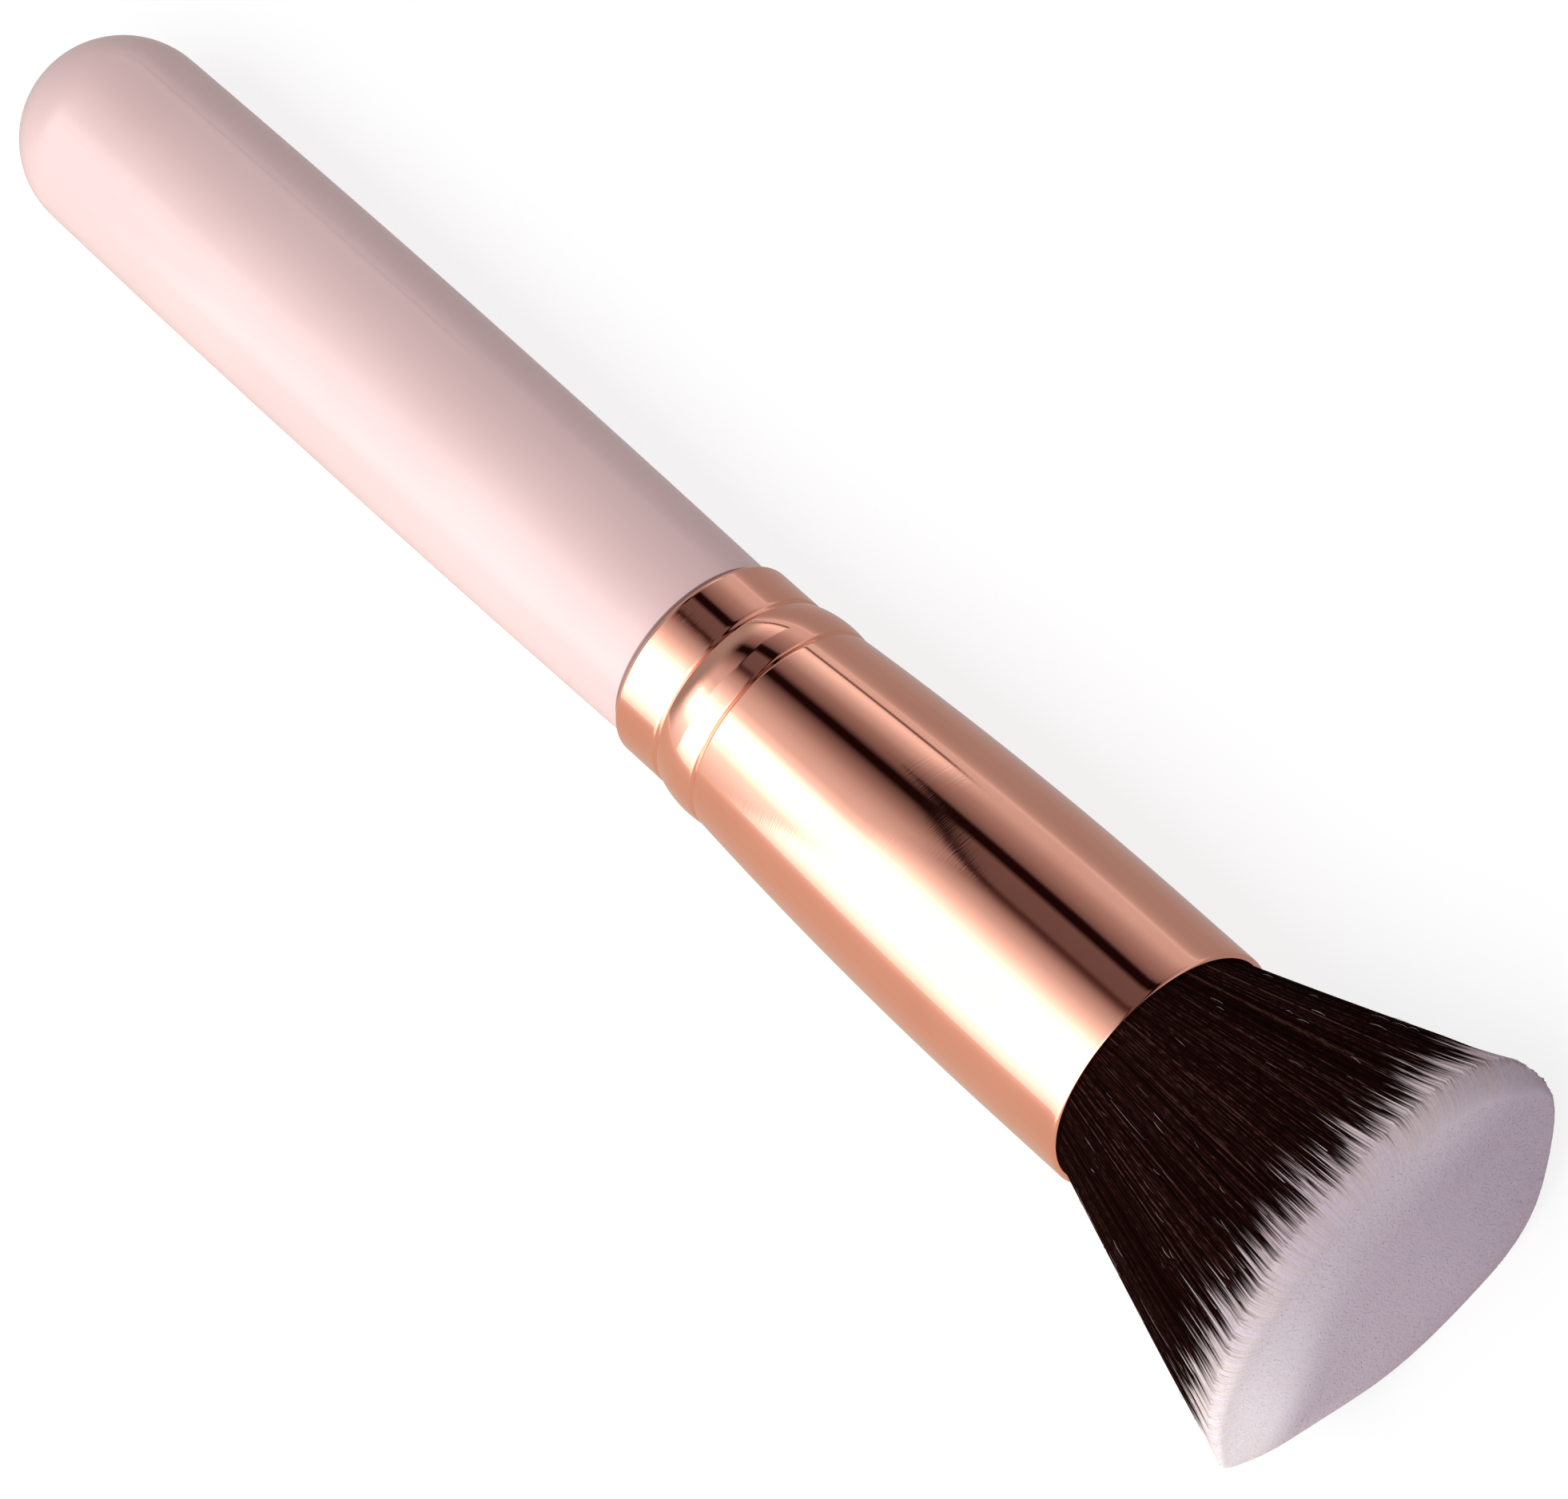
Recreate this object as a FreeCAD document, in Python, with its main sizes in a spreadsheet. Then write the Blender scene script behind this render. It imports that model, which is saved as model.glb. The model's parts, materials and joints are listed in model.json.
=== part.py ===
import FreeCAD, Part
import math
import os
import Sketcher

# Flat-topped kabuki makeup brush: a turned and lacquered handle, a spun metal ferrule rolled onto its tenon,
# and a glued tuft of hair that bends where it leaves the ferrule. Lengths are in millimetres.
# Each piece is drawn along X, from the round butt of the handle at 0 to the flat top of the hair, and then
# laid down as the brush lies on a table: on the rim of the hair and on the butt.

document = FreeCAD.newDocument("kabuki_brush")
sheet = document.addObject("Spreadsheet::Sheet", "sizes")

DRIVING_SIZES = {
    # Handle
    "handle_length": (82.0, "butt to the rear rim of the ferrule"),
    "butt_radius": (8.6, "round end of the handle"),
    "belly_radius": (8.88, "fattest place of the handle"),
    "belly_place": (42.0, "butt to the fattest place"),
    "neck_radius": (8.53, "handle where it enters the ferrule"),
    "tenon_length": (18.0, "stub of the handle inside the ferrule"),
    "tenon_step": (0.2, "how far the stub is turned down"),
    "tenon_chamfer": (1.0, "bevel on the end of the stub"),
    "glue_groove_width": (0.8, "grooves round the stub that key the glue"),
    "glue_groove_depth": (0.5, "depth of those grooves"),
    # Ferrule
    "ferrule_length": (53.7, "rear rim to mouth"),
    "ferrule_wall": (0.5, "sheet of the ferrule"),
    "neck_clearance": (0.15, "room between handle neck and ferrule"),
    "lip_radius": (0.4, "rounded edge of both rims"),
    "collar_length": (4.9, "rear rim to the first rolled line"),
    "bead_length": (4.9, "first rolled line to the second"),
    "bead_rise": (0.42, "how far the bead stands above the collar"),
    "crimp_width": (0.5, "rolled lines"),
    "crimp_depth": (0.25, "depth of the rolled lines"),
    "sleeve_radius": (11.05, "straight front of the ferrule"),
    "sleeve_length": (8.5, "length of that straight front"),
    # Tuft
    "hair_length": (25.0, "mouth of the ferrule to the flat top"),
    "tip_half_width": (18.6, "half the wide way across the flat top"),
    "tip_half_thickness": (14.0, "half the narrow way across the flat top"),
    "tip_rounding": (1.0, "edge of the flat top"),
    "white_length": (4.5, "undyed ends of the hair"),
    "root_depth": (16.0, "hair inside the ferrule"),
    "root_clearance": (0.05, "room between hair and ferrule"),
    "resin_length": (5.0, "plug of resin behind the roots"),
    "binding_place": (2.0, "root ends to the binding"),
    "binding_length": (3.0, "width of the binding"),
    "binding_thickness": (0.6, "thickness of the binding"),
    # Bend of the tuft
    "bend_depth": (6.0, "pivot of the bend, inside the mouth"),
    "bend_margin": (1.7, "ferrule lip to the ball on which the tuft bends"),
    "bend_gap": (0.3, "room between the two halves of that ball"),
}


class Size:
    """A length that knows its present number and the sheet formula that gives it."""

    def __init__(self, number, formula):
        self.number = number
        self.formula = formula

    def __add__(self, other):
        other = as_size(other)
        return Size(self.number + other.number, f"({self.formula} + {other.formula})")

    def __sub__(self, other):
        other = as_size(other)
        return Size(self.number - other.number, f"({self.formula} - {other.formula})")

    def __mul__(self, other):
        other = as_size(other)
        return Size(self.number * other.number, f"({self.formula} * {other.formula})")

    def __truediv__(self, other):
        other = as_size(other)
        return Size(self.number / other.number, f"({self.formula} / {other.formula})")


def as_size(value):
    if isinstance(value, Size):
        return value
    return Size(float(value), repr(float(value)))


def root_of(size):
    return Size(math.sqrt(size.number), f"sqrt({size.formula})")


def fill_sheet():
    """Write the driving sizes into the sheet, one row each, and hand them back by name."""
    named = {}
    for row, (name, (number, note)) in enumerate(DRIVING_SIZES.items(), start=1):
        sheet.set(f"A{row}", name)
        sheet.set(f"B{row}", str(number))
        sheet.set(f"C{row}", note)
        sheet.setAlias(f"B{row}", name)
        named[name] = Size(number, f"sizes.{name}")
    return named


size = fill_sheet()
document.recompute()
ZERO = as_size(0)

# Places along the brush
rim_place = size["handle_length"]
tenon_end = rim_place + size["tenon_length"]
first_crimp = rim_place + size["collar_length"]
second_crimp = first_crimp + size["bead_length"]
mouth_place = rim_place + size["ferrule_length"]
sleeve_place = mouth_place - size["sleeve_length"]
root_place = mouth_place - size["root_depth"]
plug_place = root_place - size["resin_length"]
tip_place = mouth_place + size["hair_length"]
dye_place = tip_place - size["white_length"]
pivot_place = mouth_place - size["bend_depth"]
half_crimp = size["crimp_width"] / 2
flare_place = second_crimp + half_crimp
throat_place = second_crimp - size["bead_length"] / 2

# Radii that fit one another
tenon_radius = size["neck_radius"] - size["tenon_step"]
collar_bore = size["neck_radius"] + size["neck_clearance"]
collar_radius = collar_bore + size["ferrule_wall"]
bead_radius = collar_radius + size["bead_rise"]
flare_bore = bead_radius - size["ferrule_wall"]
mouth_bore = size["sleeve_radius"] - size["ferrule_wall"]
root_radius = mouth_bore - size["root_clearance"]
lip_reach = root_of(size["bend_depth"] * size["bend_depth"] + size["sleeve_radius"] * size["sleeve_radius"])
ball_radius = lip_reach + size["bend_margin"]
socket_radius = ball_radius + size["bend_gap"]


def bore_radius_at(place):
    """Inside radius of the flared part of the ferrule, which is an arc that ends level at the sleeve."""
    run = sleeve_place - flare_place
    drop = mouth_bore - flare_bore
    arc_radius = (run * run + drop * drop) / (drop * 2)
    back = sleeve_place - place
    return mouth_bore - arc_radius + root_of(arc_radius * arc_radius - back * back)


def filling_radius_at(place):
    """Outside radius of what fills the ferrule, on a straight line from the resin plug to the mouth."""
    plug_radius = bore_radius_at(plug_place) - size["root_clearance"]
    share = (place - plug_place) / (mouth_place - plug_place)
    return plug_radius + (root_radius - plug_radius) * share


def tuft_half_at(place, tip_half):
    """Half a width of the tuft at a place along it: straight from the round mouth to the oval top."""
    share = (place - mouth_place) / size["hair_length"]
    return root_radius + (tip_half - root_radius) * share


def new_body(name):
    body = document.addObject("PartDesign::Body", name)
    body.Label = name
    return body


def new_sketch(body, name, plane_role):
    sketch = body.newObject("Sketcher::SketchObject", name)
    plane = next(item for item in body.Origin.OriginFeatures if item.Role == plane_role)
    sketch.AttachmentSupport = [(plane, "")]
    sketch.MapMode = "FlatFace"
    return sketch


def bind(sketch, constraint, formula):
    index = sketch.addConstraint(constraint)
    sketch.setExpression(f"Constraints[{index}]", formula)


def pin_point(sketch, geometry, end, place, radius):
    """Fix one point of a sketch at a place along the axis and a radius from it."""
    horizontal_axis, vertical_axis = -1, -2
    if place is ZERO:
        sketch.addConstraint(Sketcher.Constraint("PointOnObject", geometry, end, vertical_axis))
    else:
        along = Sketcher.Constraint("DistanceX", -1, 1, geometry, end, place.number)
        bind(sketch, along, place.formula)
    if radius is ZERO:
        sketch.addConstraint(Sketcher.Constraint("PointOnObject", geometry, end, horizontal_axis))
    elif radius is not None:
        across = Sketcher.Constraint("DistanceY", -1, 1, geometry, end, radius.number)
        bind(sketch, across, radius.formula)


def flat_vector(place, radius):
    return FreeCAD.Vector(place.number, radius.number, 0)


def arc_about(start, end, centre_place):
    """Short arc between two points about a centre whose place along the axis is known."""
    run = end.x - start.x
    rise = end.y - start.y
    spread = end.x ** 2 - start.x ** 2 + end.y ** 2 - start.y ** 2
    centre = FreeCAD.Vector(centre_place.number, (spread - 2 * centre_place.number * run) / (2 * rise), 0)
    circle = Part.Circle(centre, FreeCAD.Vector(0, 0, 1), (start - centre).Length)
    start_angle = math.atan2(start.y - centre.y, start.x - centre.x)
    end_angle = math.atan2(end.y - centre.y, end.x - centre.x)
    forward = (end_angle - start_angle) % (2 * math.pi) < math.pi
    if forward:
        return Part.ArcOfCircle(circle, start_angle, end_angle), forward
    return Part.ArcOfCircle(circle, end_angle, start_angle), forward


def draw_outline(sketch, points):
    """Draw a closed outline. A point is (place, radius), and a third value is the place of the centre
    of the arc that leads from that point to the next; without it a straight line does."""
    first = sketch.GeometryCount
    heads, tails = [], []
    for index, point in enumerate(points):
        following = points[(index + 1) % len(points)]
        start = flat_vector(point[0], point[1])
        end = flat_vector(following[0], following[1])
        geometry = first + index
        forward = True
        if len(point) == 3:
            curve, forward = arc_about(start, end, point[2])
        else:
            curve = Part.LineSegment(start, end)
        sketch.addGeometry(curve)
        heads.append((geometry, 1 if forward else 2))
        tails.append((geometry, 2 if forward else 1))
    for index, point in enumerate(points):
        sketch.addConstraint(Sketcher.Constraint("Coincident", *tails[index - 1], *heads[index]))
        pin_point(sketch, *heads[index], point[0], point[1])
        if len(point) == 3:
            pin_point(sketch, heads[index][0], 3, point[2], None)


def turned(body, name, feature_type, outlines):
    """Spin closed outlines about the axis of the brush."""
    sketch = new_sketch(body, f"{name}_outline", "XZ_Plane")
    for points in outlines:
        draw_outline(sketch, points)
    feature = body.newObject(feature_type, name)
    feature.Profile = sketch
    feature.ReferenceAxis = (sketch, ["H_Axis"])
    feature.Angle = 360.0
    return feature


def glue_groove_outlines(outer_radius):
    """Grooves round the tenon, evenly spaced under the collar and the bead."""
    groove_count = 2
    glued_start = rim_place + size["lip_radius"]
    glued_length = throat_place - glued_start
    floor_radius = tenon_radius - size["glue_groove_depth"]
    outlines = []
    for number in range(groove_count):
        middle = glued_start + glued_length * ((number + 1) / (groove_count + 1))
        near = middle - size["glue_groove_width"] / 2
        far = middle + size["glue_groove_width"] / 2
        outlines.append([(near, floor_radius), (far, floor_radius), (far, outer_radius), (near, outer_radius)])
    return outlines


# Handle: round butt, slight belly, and a stub that goes into the ferrule
def make_handle():
    body = new_body("handle")
    bevel = size["tenon_chamfer"]
    turned(body, "handle_turning", "PartDesign::Revolution", [[
        (ZERO, ZERO, size["butt_radius"]),
        (size["butt_radius"], size["butt_radius"], size["belly_place"]),
        (size["belly_place"], size["belly_radius"], size["belly_place"]),
        (rim_place, size["neck_radius"]),
        (rim_place, tenon_radius),
        (tenon_end - bevel, tenon_radius),
        (tenon_end, tenon_radius - bevel),
        (tenon_end, ZERO),
    ]])
    document.recompute()
    turned(body, "handle_glue_grooves", "PartDesign::Groove", glue_groove_outlines(size["neck_radius"]))
    return body


# Ferrule: collar, rolled line, bead, rolled line, flare, straight sleeve and rounded mouth
def make_ferrule():
    body = new_body("ferrule")
    lip = size["lip_radius"]
    depth = size["crimp_depth"]
    crown_place = second_crimp - size["bead_length"] / 3
    turned(body, "ferrule_spinning", "PartDesign::Revolution", [[
        (rim_place, collar_bore),
        (rim_place, collar_radius - lip, rim_place + lip),
        (rim_place + lip, collar_radius),
        (first_crimp - half_crimp, collar_radius),
        (first_crimp, collar_radius - depth),
        (first_crimp + half_crimp, collar_radius, crown_place),
        (second_crimp - half_crimp, bead_radius),
        (second_crimp, bead_radius - depth),
        (flare_place, bead_radius, sleeve_place),
        (sleeve_place, size["sleeve_radius"]),
        (mouth_place - lip, size["sleeve_radius"], mouth_place - lip),
        (mouth_place, size["sleeve_radius"] - lip),
        (mouth_place, mouth_bore),
        (sleeve_place, mouth_bore, sleeve_place),
        (flare_place, flare_bore),
        (throat_place, collar_bore),
    ]])
    return body


# Glue between the tenon and the ferrule, keyed into the grooves of the tenon
def make_tenon_glue():
    body = new_body("tenon_glue")
    start = rim_place + size["lip_radius"]
    turned(body, "glue_sleeve", "PartDesign::Revolution", [[
        (start, tenon_radius),
        (throat_place, tenon_radius),
        (throat_place, collar_bore),
        (start, collar_bore),
    ]])
    document.recompute()
    turned(body, "glue_keys", "PartDesign::Revolution", glue_groove_outlines(tenon_radius))
    return body


# Plug of resin that holds the root ends of the hair
def make_root_resin():
    body = new_body("root_resin")
    turned(body, "resin_plug", "PartDesign::Revolution", [[
        (plug_place, ZERO),
        (plug_place, filling_radius_at(plug_place)),
        (root_place, filling_radius_at(root_place)),
        (root_place, ZERO),
    ]])
    return body


binding_start = root_place + size["binding_place"]
binding_end = binding_start + size["binding_length"]


# Binding that ties the bundle of hair together just above the resin
def make_root_binding():
    body = new_body("root_binding")
    outer_start = filling_radius_at(binding_start)
    outer_end = filling_radius_at(binding_end)
    turned(body, "binding_band", "PartDesign::Revolution", [[
        (binding_start, outer_start - size["binding_thickness"]),
        (binding_start, outer_start),
        (binding_end, outer_end),
        (binding_end, outer_end - size["binding_thickness"]),
    ]])
    return body


def flank_ball_crossing(radius):
    """Place and radius where the flank of the tuft leaves the ball on which the tuft bends."""
    mean_tip_half = (size["tip_half_width"] + size["tip_half_thickness"]) / 2
    slope = (mean_tip_half - root_radius) / size["hair_length"]
    square = slope * slope + 1
    middle = size["bend_depth"] + slope * root_radius
    constant = size["bend_depth"] * size["bend_depth"] + root_radius * root_radius - radius * radius
    beyond_mouth = (root_of(middle * middle - square * constant) - middle) / square
    return mouth_place + beyond_mouth, root_radius + slope * beyond_mouth


# Hair that the ferrule holds: from the resin to just past the mouth, ending in a ball
def make_tuft_root():
    body = new_body("tuft_root")
    thickness = size["binding_thickness"]
    flank_place, flank_radius = flank_ball_crossing(ball_radius)
    turned(body, "root_bundle", "PartDesign::Revolution", [[
        (root_place, ZERO),
        (root_place, filling_radius_at(root_place)),
        (binding_start, filling_radius_at(binding_start)),
        (binding_start, filling_radius_at(binding_start) - thickness),
        (binding_end, filling_radius_at(binding_end) - thickness),
        (binding_end, filling_radius_at(binding_end)),
        (mouth_place, root_radius),
        (flank_place, flank_radius, pivot_place),
        (pivot_place + ball_radius, ZERO),
    ]])
    return body


def oval_section(body, name, place, half_width, half_thickness):
    """Oval across the brush, wide way along Y, at a place along it."""
    sketch = new_sketch(body, name, "YZ_Plane")
    sketch.setExpression("AttachmentOffset.Base.z", place.formula)
    centre = FreeCAD.Vector(0, 0, 0)
    wide_end = FreeCAD.Vector(half_width.number, 0, 0)
    narrow_end = FreeCAD.Vector(0, half_thickness.number, 0)
    sketch.addGeometry(Part.Ellipse(wide_end, narrow_end, centre))
    sketch.exposeInternalGeometry(0)
    wide_line, narrow_line = 1, 2
    sketch.addConstraint(Sketcher.Constraint("Coincident", 0, 3, -1, 1))
    sketch.addConstraint(Sketcher.Constraint("Horizontal", wide_line))
    for line, half in ((wide_line, half_width), (narrow_line, half_thickness)):
        bind(sketch, Sketcher.Constraint("Distance", line, 2 * half.number), (half * 2).formula)
    return sketch


def tuft_oval(place):
    """The tuft's oval at a place along it, as place, half width and half thickness."""
    half_width = tuft_half_at(place, size["tip_half_width"])
    half_thickness = tuft_half_at(place, size["tip_half_thickness"])
    return place, half_width, half_thickness


def oval_loft(body, name, ovals, straight):
    """Stretch of the tuft through a run of ovals, with straight or with curved flanks."""
    sections = []
    for number, (place, half_width, half_thickness) in enumerate(ovals):
        sections.append(oval_section(body, f"{name}_{number}", place, half_width, half_thickness))
    loft = body.newObject("PartDesign::AdditiveLoft", name)
    loft.Profile = sections[0]
    loft.Sections = sections[1:]
    loft.Ruled = straight
    document.recompute()


# Dyed lengths of the free hair, with a hollow that turns over the ball of the held hair
def make_tuft_shafts():
    body = new_body("tuft_shafts")
    socket_start, _ = flank_ball_crossing(socket_radius)
    clear_start = (mouth_place + socket_start) / 2
    oval_loft(body, "dyed_hair", [tuft_oval(clear_start), tuft_oval(dye_place)], straight=True)
    turned(body, "ball_hollow", "PartDesign::Groove", [[
        (pivot_place - socket_radius, ZERO, pivot_place),
        (pivot_place, socket_radius, pivot_place),
        (pivot_place + socket_radius, ZERO),
    ]])
    return body


edge_place = tip_place - size["tip_rounding"]


# White ends of the free hair, cut to a flat top with a rounded edge
def make_tuft_tips():
    body = new_body("tuft_tips")
    edge_oval = tuft_oval(edge_place)
    oval_loft(body, "white_hair", [tuft_oval(dye_place), edge_oval], straight=True)
    rounded = []
    for degrees in (0, 30, 60, 90):
        rise = size["tip_rounding"] * math.sin(math.radians(degrees))
        inset = size["tip_rounding"] * (1 - math.cos(math.radians(degrees)))
        rounded.append((edge_place + rise, edge_oval[1] - inset, edge_oval[2] - inset))
    oval_loft(body, "flat_top_edge", rounded, straight=False)
    return body


def lying_placement():
    """Lay the brush down, touching the table with the lower rim of the hair and with the round butt."""
    rounding = size["tip_rounding"].number
    butt = size["butt_radius"].number
    edge_drop = tuft_half_at(edge_place, size["tip_half_thickness"]).number - rounding
    span = edge_place.number - butt
    tilt = math.acos((butt - rounding) / math.hypot(span, edge_drop)) - math.atan2(span, edge_drop)
    nearest = butt * math.cos(tilt) - butt
    farthest = edge_place.number * math.cos(tilt) + edge_drop * math.sin(tilt) + rounding
    corner = FreeCAD.Vector(-(nearest + farthest) / 2, 0, butt * (1 - math.sin(tilt)))
    return FreeCAD.Placement(corner, FreeCAD.Rotation(FreeCAD.Vector(0, 1, 0), -math.degrees(tilt)))


pieces = [
    make_handle(),
    make_ferrule(),
    make_tenon_glue(),
    make_root_resin(),
    make_root_binding(),
    make_tuft_root(),
    make_tuft_shafts(),
    make_tuft_tips(),
]
lying = lying_placement()
for piece in pieces:
    piece.Placement = lying
document.recompute()

for item in document.Objects:
    if "Invalid" in item.State or "Error" in item.State:
        raise RuntimeError(f"{item.Name} failed: {item.State}")
for piece in pieces:
    if piece.Shape.isNull() or not piece.Shape.isValid() or len(piece.Shape.Solids) != 1:
        raise RuntimeError(f"{piece.Label} is not one sound solid")

os.makedirs("parts", exist_ok=True)
for piece in pieces:
    piece.Shape.exportStep(f"parts/{piece.Label}.step")
    print(piece.Label, f"{piece.Shape.Volume:.1f} cubic millimetres")

pivot = lying.multVec(FreeCAD.Vector(pivot_place.number, 0, 0))
print(f"bend pivot {pivot.x:.3f} {pivot.y:.3f} {pivot.z:.3f}")
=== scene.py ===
# %% [markdown]
# # A flat-topped kabuki makeup brush
# The brush has three things to look at: a pale pink lacquered handle, a mirror-bright rose metal ferrule,
# and a dense tuft of dark hair with white tips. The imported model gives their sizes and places, and this
# lesson builds the surfaces around it, one piece at a time.

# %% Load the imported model
import json
import math

import bpy
import numpy as np
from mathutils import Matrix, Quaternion, Vector


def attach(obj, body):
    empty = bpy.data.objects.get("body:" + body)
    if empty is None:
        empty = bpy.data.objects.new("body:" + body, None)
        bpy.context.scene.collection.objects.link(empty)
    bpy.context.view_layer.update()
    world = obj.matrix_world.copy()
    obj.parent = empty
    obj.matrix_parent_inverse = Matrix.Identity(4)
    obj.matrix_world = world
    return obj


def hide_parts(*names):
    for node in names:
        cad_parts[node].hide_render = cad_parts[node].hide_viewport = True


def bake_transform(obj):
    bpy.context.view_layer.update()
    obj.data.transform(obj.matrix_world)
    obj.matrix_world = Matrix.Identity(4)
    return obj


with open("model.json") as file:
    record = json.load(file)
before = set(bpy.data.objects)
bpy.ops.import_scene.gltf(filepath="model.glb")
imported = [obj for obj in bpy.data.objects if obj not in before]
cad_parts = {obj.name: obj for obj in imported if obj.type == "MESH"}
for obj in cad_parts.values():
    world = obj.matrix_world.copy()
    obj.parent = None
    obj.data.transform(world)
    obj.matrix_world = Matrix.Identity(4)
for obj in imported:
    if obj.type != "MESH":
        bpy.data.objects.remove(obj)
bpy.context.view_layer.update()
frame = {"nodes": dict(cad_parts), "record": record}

# %% [markdown]
# The brush lies on the table with its butt and the lower rim of its hair touching it, so its axis leans a
# little. Points are easier to think of along the brush, so every piece is drawn in brush coordinates:
# millimetres along the axis from the butt, across it, and above it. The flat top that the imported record
# names gives the axis, and one function lays the points down in the frame's metres.

# %% Brush coordinates
MILLIMETRE = 0.001
BRUSH_LENGTH = 160.7
flat_top = next(mount for mount in frame["record"]["mounts"] if mount["name"] == "flat_top")
axis_along = np.array(flat_top["axis"], float)
axis_along /= np.linalg.norm(axis_along)
axis_across = np.array((0.0, 1.0, 0.0))
axis_above = np.cross(axis_along, axis_across)
top_centre = np.array(flat_top["pos_m"], float)


def laid_down(points):
    """Points in brush coordinates, as points of the frame in metres."""
    points = np.asarray(points, float) * MILLIMETRE
    from_top = points[..., 0:1] - BRUSH_LENGTH * MILLIMETRE
    return top_centre + from_top * axis_along + points[..., 1:2] * axis_across + points[..., 2:3] * axis_above


print("butt of the brush at", np.round(laid_down([0.0, 0.0, 0.0]), 4))

# %% [markdown]
# The picture was taken from above the hair end, with a long lens and the camera rolled, so that the brush
# runs from the upper left to the lower right. The place, aim, roll and lens come from matching the outline
# of the brush, and the camera is made first because every later look depends on it.

# %% Camera
CAMERA_PLACE = Vector((0.345417, 0.0, 0.677931))
CAMERA_AIM = Vector((0.012196, -0.000984, 0.011527))
CAMERA_ROLL = math.radians(-48.2227)
CAMERA_LENS, CAMERA_SENSOR = 219.17, 36.0
camera_data = bpy.data.cameras.new("photo_camera")
camera_data.lens = CAMERA_LENS
camera_data.sensor_width = CAMERA_SENSOR
camera_data.clip_start = 0.01
camera = bpy.data.objects.new("photo_camera", camera_data)
bpy.context.scene.collection.objects.link(camera)
camera.location = CAMERA_PLACE
camera.rotation_mode = "QUATERNION"
level_view = (CAMERA_AIM - CAMERA_PLACE).to_track_quat("-Z", "Y")
camera.rotation_quaternion = level_view @ Quaternion((0.0, 0.0, 1.0), CAMERA_ROLL)
bpy.context.scene.camera = camera
print("camera to aim:", round((CAMERA_AIM - CAMERA_PLACE).length, 3), "m")

# %% [markdown]
# A finish is a small network of nodes around one Principled shader. A few helpers keep the networks short:
# one turns a colour as a painter reads it on a screen into the light values that the shader wants, one adds
# a node and fills its sockets, one lays a row of colours over a number from 0 to 1, and one mixes two
# colours. The others tell how far a value has come between two limits, start a finish, find the point of the
# brush and give a surface small relief.

# %% Helpers for finishes
# Places of the colour sockets on a Mix node.
MIX_SHARE, MIX_FIRST, MIX_SECOND, MIX_RESULT = 0, 6, 7, 2


def screen_colour(red, green, blue):
    """A colour given as sRGB screen values from 0 to 255, as linear light."""
    linear = []
    for value in (red, green, blue):
        share = value / 255.0
        linear.append(share / 12.92 if share <= 0.04045 else ((share + 0.055) / 1.055) ** 2.4)
    return tuple(linear)


def add_node(tree, kind, inputs=None, **settings):
    """A node of the tree with its settings made and its sockets, named or counted, filled or linked."""
    node = tree.nodes.new(kind)
    for name, value in settings.items():
        setattr(node, name, value)
    for name, value in (inputs or {}).items():
        if isinstance(value, bpy.types.NodeSocket):
            tree.links.new(value, node.inputs[name])
        else:
            node.inputs[name].default_value = value
    return node


def colour_row(tree, share, stops):
    """Colours laid over a number from 0 to 1. A stop is its place and its linear colour."""
    node = add_node(tree, "ShaderNodeValToRGB", {"Fac": share})
    elements = node.color_ramp.elements
    elements[0].position = stops[0][0]
    elements[1].position = stops[-1][0]
    for place, _ in stops[1:-1]:
        elements.new(place)
    for element, (_, colour) in zip(elements, stops):
        element.color = (*colour, 1.0)
    return node.outputs["Color"]


def mix_colours(tree, share, first, second, blend="MIX"):
    """The first colour where the share is 0 and the second, or the blend of both, where it is 1."""
    node = add_node(tree, "ShaderNodeMix", {MIX_SHARE: share, MIX_FIRST: first, MIX_SECOND: second},
                    data_type="RGBA", blend_type=blend)
    return node.outputs[MIX_RESULT]


def share_between(tree, value, low, high, rise="LINEAR"):
    """0 where the value is below low, 1 where it is above high, and a rise between."""
    node = add_node(tree, "ShaderNodeMapRange", {"Value": value, "From Min": low, "From Max": high},
                    interpolation_type=rise)
    return node.outputs["Result"]


def new_finish(name, **sockets):
    """A material with one Principled shader, whose plain sockets are set at once."""
    material = bpy.data.materials.new(name)
    material.use_nodes = True
    shader = material.node_tree.nodes["Principled BSDF"]
    for socket, value in sockets.items():
        shader.inputs[socket.replace("_", " ")].default_value = value
    return material, material.node_tree, shader


def brush_coordinates(tree):
    """The point of the brush in millimetres along, across and above, as each mesh carries it."""
    return add_node(tree, "ShaderNodeAttribute", attribute_name="brush_point").outputs["Vector"]


def bump_from(tree, shader, height, strength, distance):
    """Small relief on the shader from a height."""
    bump = add_node(tree, "ShaderNodeBump", {"Height": height, "Strength": strength, "Distance": distance})
    tree.links.new(bump.outputs["Normal"], shader.inputs["Normal"])


print("finish helpers ready")

# %% [markdown]
# A mesh is points and faces. Each mesh also carries the brush coordinates of its points, so that a finish
# can follow the brush, also when the tuft bends. A turned piece, like the handle or the ferrule, is an
# outline spun about the axis: a Screw modifier would do it too, but spinning the points ourselves keeps the
# poles closed and the points in order.

# %% Helpers for meshes
def new_piece(name, points, faces, material, sharp_degrees=35.0):
    """An object from points in brush coordinates."""
    mesh = bpy.data.meshes.new(name)
    mesh.from_pydata(laid_down(points).tolist(), [], faces)
    carried = mesh.attributes.new("brush_point", "FLOAT_VECTOR", "POINT")
    carried.data.foreach_set("vector", np.asarray(points, np.float32).ravel())
    mesh.polygons.foreach_set("use_smooth", [True] * len(mesh.polygons))
    mesh.set_sharp_from_angle(angle=math.radians(sharp_degrees))
    mesh.materials.append(material)
    piece = bpy.data.objects.new(name, mesh)
    bpy.context.scene.collection.objects.link(piece)
    return piece


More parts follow.
